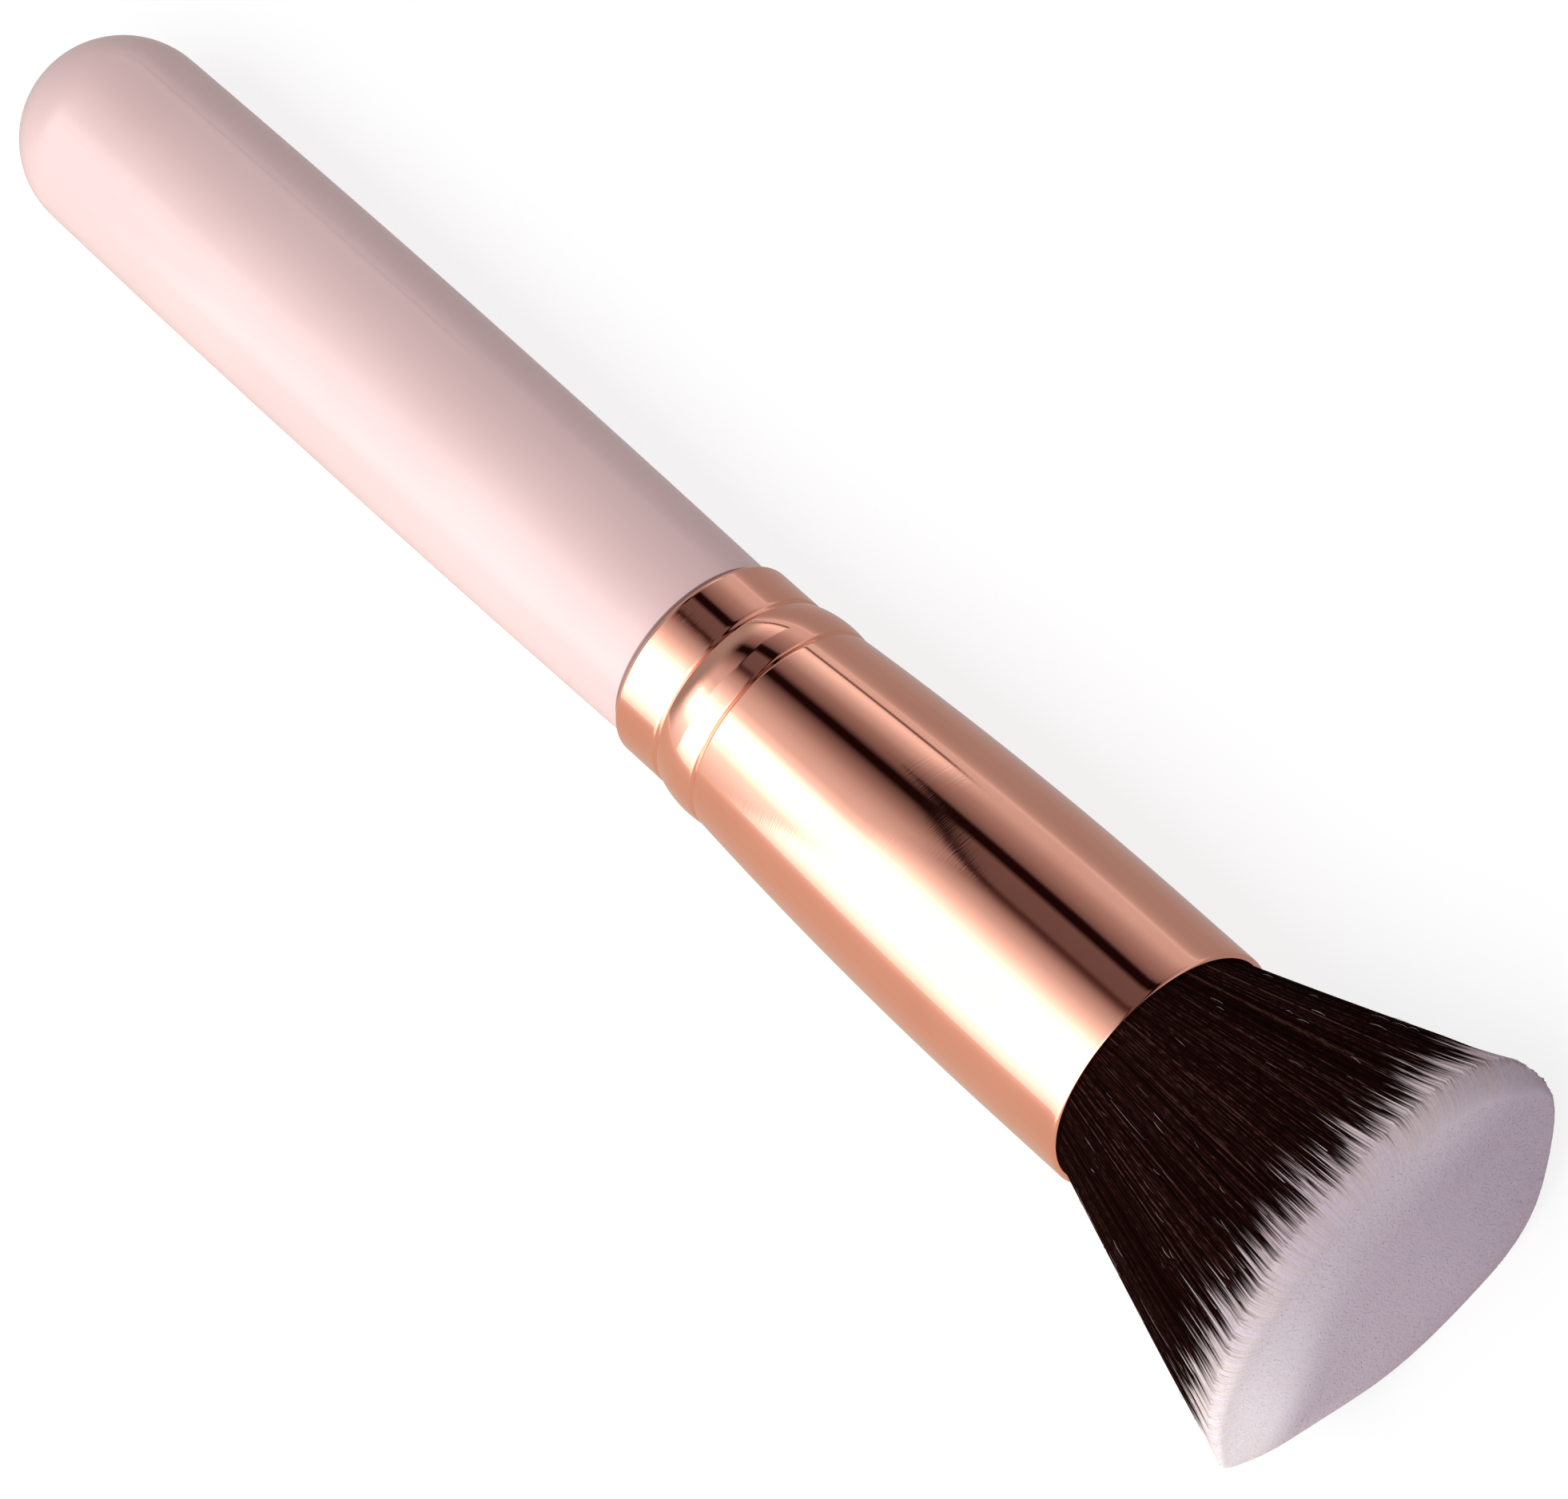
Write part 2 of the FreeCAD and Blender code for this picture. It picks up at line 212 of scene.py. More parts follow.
def carry(piece, name, values):
    """One number for each point of a piece, for its finish to read."""
    attribute = piece.data.attributes.new(name, "FLOAT", "POINT")
    attribute.data.foreach_set("value", np.asarray(values, np.float32).ravel())


def turned(outline, sides, closed):
    """Points and faces of an outline of (along, radius) spun about the axis. A closed outline is a ring;
    an open one starts and ends on the axis."""
    angles = np.arange(sides) * 2.0 * math.pi / sides
    outline = np.asarray(outline, float)
    body = outline if closed else outline[1:-1]
    points = np.stack([
        np.repeat(body[:, 0], sides),
        np.outer(body[:, 1], np.cos(angles)).ravel(),
        np.outer(body[:, 1], np.sin(angles)).ravel(),
    ], axis=1)
    faces = []
    rows = len(body)
    for row in range(rows if closed else rows - 1):
        following = (row + 1) % rows
        for side in range(sides):
            beside = (side + 1) % sides
            faces.append((row * sides + side, row * sides + beside,
                          following * sides + beside, following * sides + side))
    if not closed:
        first, last = len(points), len(points) + 1
        points = np.vstack([points, [outline[0, 0], 0.0, 0.0], [outline[-1, 0], 0.0, 0.0]])
        final_row = (rows - 1) * sides
        for side in range(sides):
            beside = (side + 1) % sides
            faces.append((first, beside, side))
            faces.append((last, final_row + side, final_row + beside))
    return points, faces


def arc_fall(distance, run, drop):
    """How far an arc has fallen at a distance from its level point, when it falls by drop over run."""
    radius = (run * run + drop * drop) / (2.0 * drop)
    return radius - np.sqrt(radius * radius - distance * distance)


print("mesh helpers ready")

# %% [markdown]
# The handle is turned wood under many coats of pale pink lacquer, rubbed to a soft gloss. Its butt is a half
# ball, the shaft swells by a fraction of a millimetre towards the middle, and a thinner stub goes on into the
# ferrule. The outline below is spun in 192 steps, fine enough that the gloss shows no facets.

# %% Handle shape
BUTT_RADIUS = 8.6
BELLY_PLACE, BELLY_RADIUS = 42.0, 8.88
RIM_PLACE, NECK_RADIUS = 82.0, 8.53
TENON_END, TENON_RADIUS, TENON_CHAMFER = 100.0, 8.33, 1.0
TURNED_SIDES = 192
BUTT_ROWS, REAR_ROWS, FRONT_ROWS = 28, 24, 28

butt = [(BUTT_RADIUS - BUTT_RADIUS * math.cos(turn), BUTT_RADIUS * math.sin(turn))
        for turn in np.linspace(0.0, math.pi / 2.0, BUTT_ROWS)]
rear_places = np.linspace(BUTT_RADIUS, BELLY_PLACE, REAR_ROWS)[1:]
front_places = np.linspace(BELLY_PLACE, RIM_PLACE, FRONT_ROWS)[1:]
rear_fall = arc_fall(BELLY_PLACE - rear_places, BELLY_PLACE - BUTT_RADIUS, BELLY_RADIUS - BUTT_RADIUS)
front_fall = arc_fall(front_places - BELLY_PLACE, RIM_PLACE - BELLY_PLACE, BELLY_RADIUS - NECK_RADIUS)
shaft = [*zip(rear_places, BELLY_RADIUS - rear_fall), *zip(front_places, BELLY_RADIUS - front_fall)]
tenon = [(RIM_PLACE, TENON_RADIUS), (TENON_END - TENON_CHAMFER, TENON_RADIUS),
         (TENON_END, TENON_RADIUS - TENON_CHAMFER), (TENON_END, 0.0)]
handle_outline = [*butt, *shaft, *tenon]
handle_points, handle_faces = turned(handle_outline, TURNED_SIDES, closed=False)
print("handle outline has", len(handle_outline), "points")

# %% [markdown]
# Lacquer is colour under a clear skin. The colour drifts very slightly where the coats are thicker, the skin
# has the faint waviness of sprayed lacquer, and a coat layer gives the second, sharper gloss. Flat paint with
# one roughness would look like plastic clay, so the roughness drifts too. Just before the ferrule a thin dark
# line is painted where the two pieces meet: partly glue, and partly the painted shade of the joint.

# %% Handle finish
LACQUER_PALE = screen_colour(242, 213, 210)
LACQUER_DEEP = screen_colour(237, 206, 204)
JOINT_GLUE_AND_SHADE_COLOUR = screen_colour(138, 108, 104)
JOINT_START, JOINT_END = 81.42, 81.54


def make_lacquer():
    """Pale pink lacquer with a dark line at the joint, partly glue and partly painted shade."""
    material, tree, shader = new_finish(
        "pink_lacquer", Specular_IOR_Level=0.2, Coat_Weight=0.7, Coat_Roughness=0.06, Coat_IOR=1.5)
    where = brush_coordinates(tree)
    drift = add_node(tree, "ShaderNodeTexNoise", {"Vector": where, "Scale": 0.05, "Detail": 3.0})
    lacquer = colour_row(tree, drift.outputs["Fac"], [(0.3, LACQUER_DEEP), (0.7, LACQUER_PALE)])
    along = add_node(tree, "ShaderNodeSeparateXYZ", {"Vector": where}).outputs["X"]
    # The dark line at the joint is partly glue and partly painted shade of the gap.
    at_joint_glue_and_shade = share_between(tree, along, JOINT_START, JOINT_END)
    colour = mix_colours(tree, at_joint_glue_and_shade, lacquer, (*JOINT_GLUE_AND_SHADE_COLOUR, 1.0))
    tree.links.new(colour, shader.inputs["Base Color"])
    rub = add_node(tree, "ShaderNodeTexNoise", {"Vector": where, "Scale": 0.6, "Detail": 4.0})
    rubbed = add_node(tree, "ShaderNodeMapRange",
                      {"Value": rub.outputs["Fac"], "To Min": 0.40, "To Max": 0.52})
    tree.links.new(rubbed.outputs["Result"], shader.inputs["Roughness"])
    waves = add_node(tree, "ShaderNodeTexNoise", {"Vector": where, "Scale": 0.35, "Detail": 2.0})
    bump_from(tree, shader, waves.outputs["Fac"], strength=0.05, distance=0.0002)
    return material


handle = new_piece("lacquered_handle", handle_points, handle_faces, make_lacquer())
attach(handle, "grip_body")
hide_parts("handle")
print("handle faces:", len(handle.data.polygons))

# %% [markdown]
# The ferrule is one thin tube of metal. A collar grips the handle, then come a rolled line, a round bead, a
# second rolled line, a long flare and a straight sleeve whose mouth is rounded inwards. A mirror shows every
# bump of its outline, so the outline is written as a smooth radius for any place and sampled closely where
# the lines and the bead are.

# %% Ferrule shape
COLLAR_RADIUS, COLLAR_BORE = 9.18, 8.68
LIP_RADIUS = 0.4
FIRST_LINE, SECOND_LINE = 86.9, 91.8
LINE_HALF_WIDTH, LINE_DEPTH = 0.16, 0.24
BEAD_CROWN, BEAD_RADIUS, BEAD_CURVE = 90.17, 9.70, 8.9
FLARE_START_RADIUS = 9.58
SLEEVE_PLACE, SLEEVE_RADIUS, SLEEVE_BORE = 127.2, 11.05, 10.55
MOUTH_PLACE = 135.7
# Inside, the bore widens from the collar to the flare between these places.
STEP_START, STEP_END, FLARE_BORE = SECOND_LINE - 2.4, SECOND_LINE + 0.3, 9.1
# The rows of the outline stand close together to just past the second line, and further apart after it.
FINE_END, FINE_STEP = SECOND_LINE + 0.8, 0.07
LONG_START, LONG_ROWS = SECOND_LINE + 0.85, 64
LIP_ROWS = 9


def bead_radius(place):
    """Outer radius of the bead, a round arc with its crown nearer to the flare."""
    return BEAD_RADIUS - BEAD_CURVE + math.sqrt(BEAD_CURVE ** 2 - (place - BEAD_CROWN) ** 2)


def ferrule_radius(place):
    """Outer radius of the ferrule at a place along the brush."""
    if place < FIRST_LINE:
        radius = COLLAR_RADIUS
    elif place < SECOND_LINE:
        radius = bead_radius(place)
    elif place < SLEEVE_PLACE:
        fall = arc_fall(SLEEVE_PLACE - place, SLEEVE_PLACE - SECOND_LINE, SLEEVE_RADIUS - FLARE_START_RADIUS)
        radius = SLEEVE_RADIUS - fall
    else:
        radius = SLEEVE_RADIUS
    for line in (FIRST_LINE, SECOND_LINE):
        radius -= LINE_DEPTH * math.exp(-((place - line) / LINE_HALF_WIDTH) ** 2)
    rear_gap = RIM_PLACE + LIP_RADIUS - place
    mouth_gap = place - (MOUTH_PLACE - LIP_RADIUS)
    for gap in (rear_gap, mouth_gap):
        if gap > 0.0:
            radius -= LIP_RADIUS - math.sqrt(max(0.0, LIP_RADIUS ** 2 - gap ** 2))
    return radius


lip_turns = np.linspace(0.0, math.pi / 2.0, LIP_ROWS)
rear_lip = [RIM_PLACE + LIP_RADIUS * (1.0 - math.cos(turn)) for turn in lip_turns]
mouth_lip = [MOUTH_PLACE - LIP_RADIUS * (1.0 - math.sin(turn)) for turn in lip_turns]
fine_places = np.arange(RIM_PLACE + LIP_RADIUS, FINE_END, FINE_STEP)[1:]
long_places = np.linspace(LONG_START, MOUTH_PLACE - LIP_RADIUS, LONG_ROWS)[:-1]
outer_places = [*rear_lip, *fine_places, *long_places, *mouth_lip]
ferrule_outline = [(place, ferrule_radius(place)) for place in outer_places]
ferrule_outline += [(MOUTH_PLACE, SLEEVE_BORE), (SLEEVE_PLACE, SLEEVE_BORE), (STEP_END, FLARE_BORE),
                    (STEP_START, COLLAR_BORE), (RIM_PLACE, COLLAR_BORE)]
ferrule_points, ferrule_faces = turned(ferrule_outline, TURNED_SIDES, closed=True)
print("ferrule outline has", len(ferrule_outline), "points")

# %% [markdown]
# The metal is polished to a mirror and tinted rose. What makes it read as metal is what it reflects, so the
# finish itself is quiet: a warm metallic colour, very low roughness with faint cloudy smears from handling,
# and hair-fine rings left by the spinning and the buffing wheel.

# %% Ferrule finish
ROSE_BRIGHT = (0.93, 0.475, 0.355)
ROSE_DEEP = (0.90, 0.445, 0.33)


def make_rose_metal():
    """Polished metal with a rose tint."""
    material, tree, shader = new_finish("rose_metal", Metallic=1.0)
    where = brush_coordinates(tree)
    smears = add_node(tree, "ShaderNodeTexNoise", {"Vector": where, "Scale": 0.12, "Detail": 5.0})
    colour = colour_row(tree, smears.outputs["Fac"], [(0.35, ROSE_DEEP), (0.65, ROSE_BRIGHT)])
    tree.links.new(colour, shader.inputs["Base Color"])
    clouded = add_node(tree, "ShaderNodeMapRange",
                       {"Value": smears.outputs["Fac"], "To Min": 0.03, "To Max": 0.065})
    tree.links.new(clouded.outputs["Result"], shader.inputs["Roughness"])
    ringed = add_node(tree, "ShaderNodeMapping", {"Vector": where, "Scale": (9.0, 0.06, 0.06)})
    rings = add_node(tree, "ShaderNodeTexNoise",
                     {"Vector": ringed.outputs["Vector"], "Scale": 1.0, "Detail": 2.0})
    bump_from(tree, shader, rings.outputs["Fac"], strength=0.012, distance=0.0001)
    return material


ferrule = new_piece("rose_metal_ferrule", ferrule_points, ferrule_faces, make_rose_metal(),
                    sharp_degrees=50.0)
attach(ferrule, "grip_body")
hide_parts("ferrule")
print("ferrule faces:", len(ferrule.data.polygons))

# %% [markdown]
# Inside the ferrule are pieces that only a cut brush would show: glue round the stub, the resin plug that
# holds the roots, and the thread that ties the bundle. Their solids are already right, so they keep them and
# only get finishes: milky glue and amber resin with clouds in their colour, and thread wound in close turns.

# %% Finishes of the inner pieces
GLUE_PALE, GLUE_DEEP = screen_colour(226, 212, 184), screen_colour(205, 184, 142)
RESIN_PALE, RESIN_DEEP = screen_colour(214, 176, 116), screen_colour(172, 122, 62)
THREAD_PALE, THREAD_DEEP = screen_colour(214, 203, 184), screen_colour(120, 108, 92)


def make_cast_finish(name, pale, deep, roughness):
    """Hardened glue or resin: a cloudy colour with a wet skin."""
    material, tree, shader = new_finish(name, Roughness=roughness, Coat_Weight=0.5, IOR=1.5)
    where = add_node(tree, "ShaderNodeTexCoord").outputs["Object"]
    clouds = add_node(tree, "ShaderNodeTexNoise", {"Vector": where, "Scale": 420.0, "Detail": 5.0})
    colour = colour_row(tree, clouds.outputs["Fac"], [(0.3, deep), (0.7, pale)])
    tree.links.new(colour, shader.inputs["Base Color"])
    bump_from(tree, shader, clouds.outputs["Fac"], strength=0.2, distance=0.0003)
    return material


def make_thread_finish():
    """Waxed thread in close turns."""
    material, tree, shader = new_finish("binding_thread", Roughness=0.7)
    where = add_node(tree, "ShaderNodeTexCoord").outputs["Object"]
    turns = add_node(tree, "ShaderNodeTexWave", {"Vector": where, "Scale": 620.0, "Distortion": 0.6},
                     bands_direction="X")
    colour = colour_row(tree, turns.outputs["Fac"], [(0.0, THREAD_DEEP), (1.0, THREAD_PALE)])
    tree.links.new(colour, shader.inputs["Base Color"])
    bump_from(tree, shader, turns.outputs["Fac"], strength=0.6, distance=0.0003)
    return material


inner_finishes = {
    "tenon_glue": make_cast_finish("clear_glue", GLUE_PALE, GLUE_DEEP, roughness=0.22),
    "root_resin": make_cast_finish("amber_resin", RESIN_PALE, RESIN_DEEP, roughness=0.16),
    "root_binding": make_thread_finish(),
}
for node_name, material in inner_finishes.items():
    node_mesh = frame["nodes"][node_name].data
    node_mesh.materials.clear()
    node_mesh.materials.append(material)
print("inner pieces finished:", sorted(inner_finishes))

# %% [markdown]
# The tuft is thousands of straight synthetic hairs that leave the round mouth and fan out to an oval flat
# top. Everything about it follows from one rule: a hair that starts at a share of the mouth's radius ends at
# the same share of the top's oval. The top is cut very slightly askew and domed, and its edge is rounded most
# where it faces up. The side on which the brush was stored is pressed a little flat, with fuller hair on one
# hand and a sharp corner on the other, and the hair below is a little longer.

# %% Shape of the tuft
HAIR_LENGTH = 25.0
TIP_PLACE = MOUTH_PLACE + HAIR_LENGTH
MOUTH_HAIR_RADIUS = 10.5
TOP_HALF_WIDTH, TOP_HALF_THICKNESS = 18.6, 14.0
TOP_SKEW = 0.04
TOP_DOME = 1.0
SHARP_EDGE, ROUND_ABOVE, ROUND_ACROSS, SIDE_STEP = 0.2, 1.5, 1.4, 2.5
# Uneven places of the rim: a turn and its width, and how much of the radius and the length differs there.
PRESSED_TURN, PRESSED_WIDTH = math.radians(225), math.radians(33)
PRESSED_SHARE, PRESSED_LENGTH = 0.10, 0.6
FULL_TURN, FULL_WIDTH = math.radians(298), math.radians(20)
FULL_SHARE, FULL_LENGTH = 0.07, 0.4
CORNER_TURN, CORNER_WIDTH, CORNER_SHARE = math.radians(182), math.radians(8), 0.035
LOWER_LENGTH = 0.3
ROOT_FULLNESS = 0.35


def half_width_at(turn):
    """Distance from the middle of the flat top to its edge."""
    return np.hypot(TOP_HALF_WIDTH * np.cos(turn), TOP_HALF_THICKNESS * np.sin(turn))


def edge_rounding(turn):
    """Radius of the rounded edge of the top at a turn about the axis: sharp below, rounded above."""
    above = np.clip(np.sin(turn), 0.0, 1.0)
    upper_half = np.clip(SIDE_STEP * np.sin(turn) + 0.5, 0.0, 1.0)
    across = np.clip(np.cos(turn), 0.0, 1.0) ** 2 * upper_half
    return SHARP_EDGE + ROUND_ABOVE * above + ROUND_ACROSS * across


def edge_fall(turn, share):
    """How far below the flat top a point near its edge lies: the edge is a quarter round."""
    rounding = edge_rounding(turn)
    reach = np.clip((share - 1.0) * half_width_at(turn) + rounding, 0.0, rounding)
    return rounding - np.sqrt(rounding * rounding - reach * reach)


def turn_between(start, end):
    """The shorter turn from start to end, at most half a turn to either side."""
    return (end - start + math.pi) % (2.0 * math.pi) - math.pi


def hump(turn, centre, width):
    """1 at the centre turn, falling smoothly to 0 on both sides."""
    return np.exp(-(turn_between(centre, turn) / width) ** 2)


def tuft_point(turn, share, climb):
    """Point of the tuft at a turn, a share of its radius and a climb: 0 at the mouth and 1 at the top."""
    pressed = hump(turn, PRESSED_TURN, PRESSED_WIDTH)
    full = hump(turn, FULL_TURN, FULL_WIDTH)
    corner = hump(turn, CORNER_TURN, CORNER_WIDTH)
    spread = share * (1.0 + climb * (FULL_SHARE * full + CORNER_SHARE * corner - PRESSED_SHARE * pressed))
    spread = spread * (1.0 + ROOT_FULLNESS * climb * (1.0 - climb) / MOUTH_HAIR_RADIUS)
    across = np.cos(turn) * (MOUTH_HAIR_RADIUS + (TOP_HALF_WIDTH - MOUTH_HAIR_RADIUS) * climb) * spread
    above = np.sin(turn) * (MOUTH_HAIR_RADIUS + (TOP_HALF_THICKNESS - MOUTH_HAIR_RADIUS) * climb) * spread
    length = HAIR_LENGTH - climb * (TOP_SKEW * across + edge_fall(turn, share))
    lower = np.clip(-np.sin(turn), 0.0, 1.0)
    uneven = FULL_LENGTH * full - PRESSED_LENGTH * pressed + LOWER_LENGTH * lower
    length = length + climb * share ** 2 * uneven
    length = length + climb * TOP_DOME * (1.0 - share ** 2)
    return np.stack([MOUTH_PLACE + length * climb, across, above], axis=-1)


print("flat top:", 2 * TOP_HALF_WIDTH, "by", 2 * TOP_HALF_THICKNESS, "mm")

# %% [markdown]
# The hair is white fibre, dyed dark from the root to a few millimetres below the top. The dye reaches further
# along some bundles than along others, which makes the ragged spikes. A few waves round the tuft shift the
# edge of the dye slowly, one random number per bundle gives the spikes, and near the cut top the dye is held
# back, so that the rim stays white. A painted picture of that edge would be simpler, but numbers for each
# bundle make the spikes run along the hair.

# %% Bundles and the edge of the dye
rng = np.random.default_rng(2607)
# Each stop is the cosine of a turn and how far from the mouth the dye reaches there.
DYE_REACH = [(-1.0, 23.4), (-0.7, 23.4), (-0.45, 22.7), (-0.3, 22.5), (0.0, 22.2), (0.3, 22.7), (0.55, 22.4),
             (0.85, 21.4), (1.0, 20.8)]
DYE_SPREAD = 1.5
DYE_WAVES, FIRST_WAVE, WAVE_HEIGHT = 6, 5, 0.5
UNDYED_ABOVE, UNDYED_BELOW, DYE_OVERRUN = 0.2, 2.0, 0.25
# How far past its two sides, as a sine, the tuft still counts as lower or as upper.
PAST_SIDE = 0.2
BUNDLES, BUNDLE_SHIFT, SPIKE_SPREAD = 300, 0.3, 0.8
bundle_shifts = rng.uniform(-BUNDLE_SHIFT, BUNDLE_SHIFT, BUNDLES)
bundle_turns = (np.arange(BUNDLES) + bundle_shifts) * 2.0 * math.pi / BUNDLES
bundle_spikes = rng.normal(0.0, SPIKE_SPREAD, BUNDLES)
wave_starts = rng.uniform(0.0, 2.0 * math.pi, DYE_WAVES)


def dye_reach_at(turn, bundle):
    """How far from the mouth the dye reaches, for hairs at a turn about the axis and in a bundle."""
    waves = sum(np.sin((FIRST_WAVE + count) * turn + start) for count, start in enumerate(wave_starts))
    reach = np.interp(np.cos(turn), *zip(*DYE_REACH))
    return reach + WAVE_HEIGHT * (waves / DYE_WAVES) + bundle_spikes[bundle]


def with_white_tips(reach, hair_length, turn):
    """Dye reaches held back before the edge of the top, most of all below, where that edge is sharp."""
    below = np.clip(PAST_SIDE - np.sin(turn), 0.0, 1.0)
    longest = hair_length - UNDYED_ABOVE - (UNDYED_BELOW - UNDYED_ABOVE) * below
    return np.minimum(reach, longest + DYE_OVERRUN * (reach - longest))


def bundle_of(turn):
    """Number of the bundle that a hair at a turn belongs to."""
    gaps = np.abs(turn_between(bundle_turns[None, :], turn[:, None]))
    return gaps.argmin(axis=1)


print("bundles:", BUNDLES)

# %% [markdown]
# Hair colour is read from numbers that every point carries: how far it is past the dye's edge, a tone that is
# the same along one hair, and how much light or shade is painted on its tip. Dark hair is nearly black with a
# few red-brown hairs among it, and its lightest short streaks are partly painted sheen. The tips are painted
# off-white where the hair leans to the light, and lavender grey over most of the flat top, as painted shade
# for the light lost between the cut ends. Just past the dye they keep a faint warm stain. A fine grain along
# the hair breaks up the streaks.

# %% Hair finish
# Each stop is a tone and its colour. The lightest dark stops are partly red-brown hair and partly painted
# sheen.
DARK_HAIR = [(0.0, (0.005, 0.0011, 0.0009)), (0.55, (0.0100, 0.0022, 0.0019)),
             (0.85, (0.024, 0.007, 0.0055)), (1.0, (0.070, 0.030, 0.025))]
WHITE_HAIR = [(0.0, screen_colour(230, 221, 224)), (0.5, screen_colour(250, 242, 245)),
              (1.0, screen_colour(253, 249, 250))]
# The grey tips are the hair's lavender off-white, darkened as painted shade.
GREY_HAIR_AND_PAINTED_SHADE = [(0.0, screen_colour(177, 163, 177)), (0.5, screen_colour(187, 173, 187)),
             (1.0, screen_colour(197, 184, 197))]
DYE_FADE = 1.5
DYE_STAIN, NO_STAIN = (1.0, 0.96, 0.87), (1.0, 1.0, 1.0)
STAIN_START, STAIN_END = 1.0, 5.0
GRAIN_STRETCH, GRAIN_STRENGTH = (0.7, 6.0, 6.0), 1.3


def carried_number(tree, name):
    """A number that the points of a mesh carry."""
    return add_node(tree, "ShaderNodeAttribute", attribute_name=name).outputs["Fac"]


def make_hair_finish(name):
    """Dyed hair whose tips get painted light and shade, coloured by the numbers that it carries."""
    material, tree, shader = new_finish(name, Roughness=0.5, Specular_IOR_Level=0.01)
    where = brush_coordinates(tree)
    stretched = add_node(tree, "ShaderNodeMapping", {"Vector": where, "Scale": GRAIN_STRETCH})
    grain = add_node(tree, "ShaderNodeTexNoise",
                     {"Vector": stretched.outputs["Vector"], "Scale": 1.0, "Detail": 3.0})
    tone = carried_number(tree, "hair_tone")
    shifted = add_node(tree, "ShaderNodeMath", {0: tone, 1: 0.5 * GRAIN_STRENGTH}, operation="SUBTRACT")
    grained = add_node(tree, "ShaderNodeMath",
                       {0: grain.outputs["Fac"], 1: GRAIN_STRENGTH, 2: shifted.outputs[0]},
                       operation="MULTIPLY_ADD", use_clamp=True)
    dark = colour_row(tree, grained.outputs[0], DARK_HAIR)
    white = colour_row(tree, grained.outputs[0], WHITE_HAIR)
    grey = colour_row(tree, grained.outputs[0], GREY_HAIR_AND_PAINTED_SHADE)
    past_dye = carried_number(tree, "past_dye")
    clean = share_between(tree, past_dye, STAIN_START, STAIN_END)
    stain = colour_row(tree, clean, [(0.0, DYE_STAIN), (1.0, NO_STAIN)])
    # Painted light and shade: the tips go from grey to white by how much light their place would get.
    tips_with_painted_light = mix_colours(tree, carried_number(tree, "painted_tip_light"), grey, white)
    tips = mix_colours(tree, 1.0, tips_with_painted_light, stain, blend="MULTIPLY")
    undyed = share_between(tree, past_dye, -DYE_FADE, DYE_FADE, rise="SMOOTHSTEP")
    tree.links.new(mix_colours(tree, undyed, dark, tips), shader.inputs["Base Color"])
    return material


hair_finish = make_hair_finish("two_tone_hair")
print("hair finish:", hair_finish.name)

# %% [markdown]
# Nobody sees between packed hairs to the far side, so under the separate hairs lies a dense core: the same
# fan shape a little smaller, with fine ridges along the hair and its own streaks. It also goes back into the
# ferrule down to the resin, where the thread ties it. Its end is the cut top, with the rounded edge over
# which the streaks of the flank run on and fade. It is drawn in rows, from the root up the flank and over the
# edge to the middle of the top, and the way walked along each column is kept for the dye.

# %% Core of the tuft
CORE_COLUMNS = 1440
CORE_SHARE, CORE_SINK, RIM_POWER = 0.985, 0.08, 6
ROOT_PLACE, HELD_END, HELD_RADIUS = 119.8, MOUTH_PLACE - 4.0, 9.4
RIDGE_HEIGHT = 0.003
CORE_TONES = (0.0, 0.8)
core_turns = np.arange(CORE_COLUMNS) * 2.0 * math.pi / CORE_COLUMNS
core_ridges = rng.normal(0.0, RIDGE_HEIGHT, CORE_COLUMNS)
core_tones = rng.uniform(*CORE_TONES, CORE_COLUMNS)
# Rows stand closer where the dye ends and over the rounded edge of the top.
core_climbs = np.concatenate([np.linspace(0.0, 0.6, 9), np.linspace(0.68, 1.0, 16)])
cap_shares = np.concatenate([np.linspace(0.998, 0.76, 26), np.linspace(0.73, 0.02, 20)])

held_circle = HELD_RADIUS * np.stack([np.cos(core_turns), np.sin(core_turns)], axis=1)
held_rows = [np.column_stack([np.full(CORE_COLUMNS, place), held_circle]) for place in (ROOT_PLACE, HELD_END)]
flank_rows = [tuft_point(core_turns, 1.0 + core_ridges, climb) for climb in core_climbs]
cap_rows = [tuft_point(core_turns, share + core_ridges * share, 1.0) for share in cap_shares]
free_rows = np.array(flank_rows + cap_rows)
flank_shares = CORE_SHARE + (1.0 - CORE_SHARE) * core_climbs ** RIM_POWER
row_shares = np.concatenate([flank_shares, np.ones(len(cap_shares))])
free_rows[:, :, 1:] *= row_shares[:, None, None]
free_rows[1:, :, 0] -= CORE_SINK
core_steps = np.linalg.norm(np.diff(free_rows, axis=0), axis=2)
core_walked = np.concatenate([np.zeros((1, CORE_COLUMNS)), np.cumsum(core_steps, axis=0)])
print("core rows:", len(held_rows) + len(free_rows))

# %% [markdown]
# How pale the tips are painted depends on the place, as painted light and shade: almost white at the corner
# that leans to the light, and lavender grey over the flat top, a little darker towards the far corner. Tips
# on the flank are painted greyer than those on the top, and the upper part of the rounded edge counts as
# flank a little longer, which paints it in shade.

# %% Painted light and shade on the tips
# Each stop is a place across the tuft and the painted light there, or for GREY_EDGE the height where the
# painted grey shade ends.
PAINTED_LIGHT_ACROSS = [(-18.6, 1.0), (-14.0, 0.9), (-9.0, 0.58), (-4.0, 0.36), (0.0, 0.26), (5.0, 0.28), (12.0, 0.30),
               (18.6, 0.15)]
FLANK_PAINTED_LIGHT_ACROSS = [(-18.6, 0.8), (-13.5, 0.55), (-11.0, 0.30), (-7.5, 0.25), (-3.0, 0.10), (0.0, 0.08),
                (8.0, 0.30), (18.6, 0.25)]
GREY_ACROSS = [(-14.0, 0.18), (0.0, 0.12), (12.0, 0.0)]
GREY_EDGE = [(-18.6, -9.0), (-12.5, -2.4), (-6.0, 4.8), (0.0, 8.0), (6.0, 7.2), (12.0, 5.7), (18.6, 3.5)]
GREY_FADE = 4.0
EDGE_FADE = 1.2
EDGE_SHADE, EDGE_SHADE_ABOVE = 0.26, 6.0


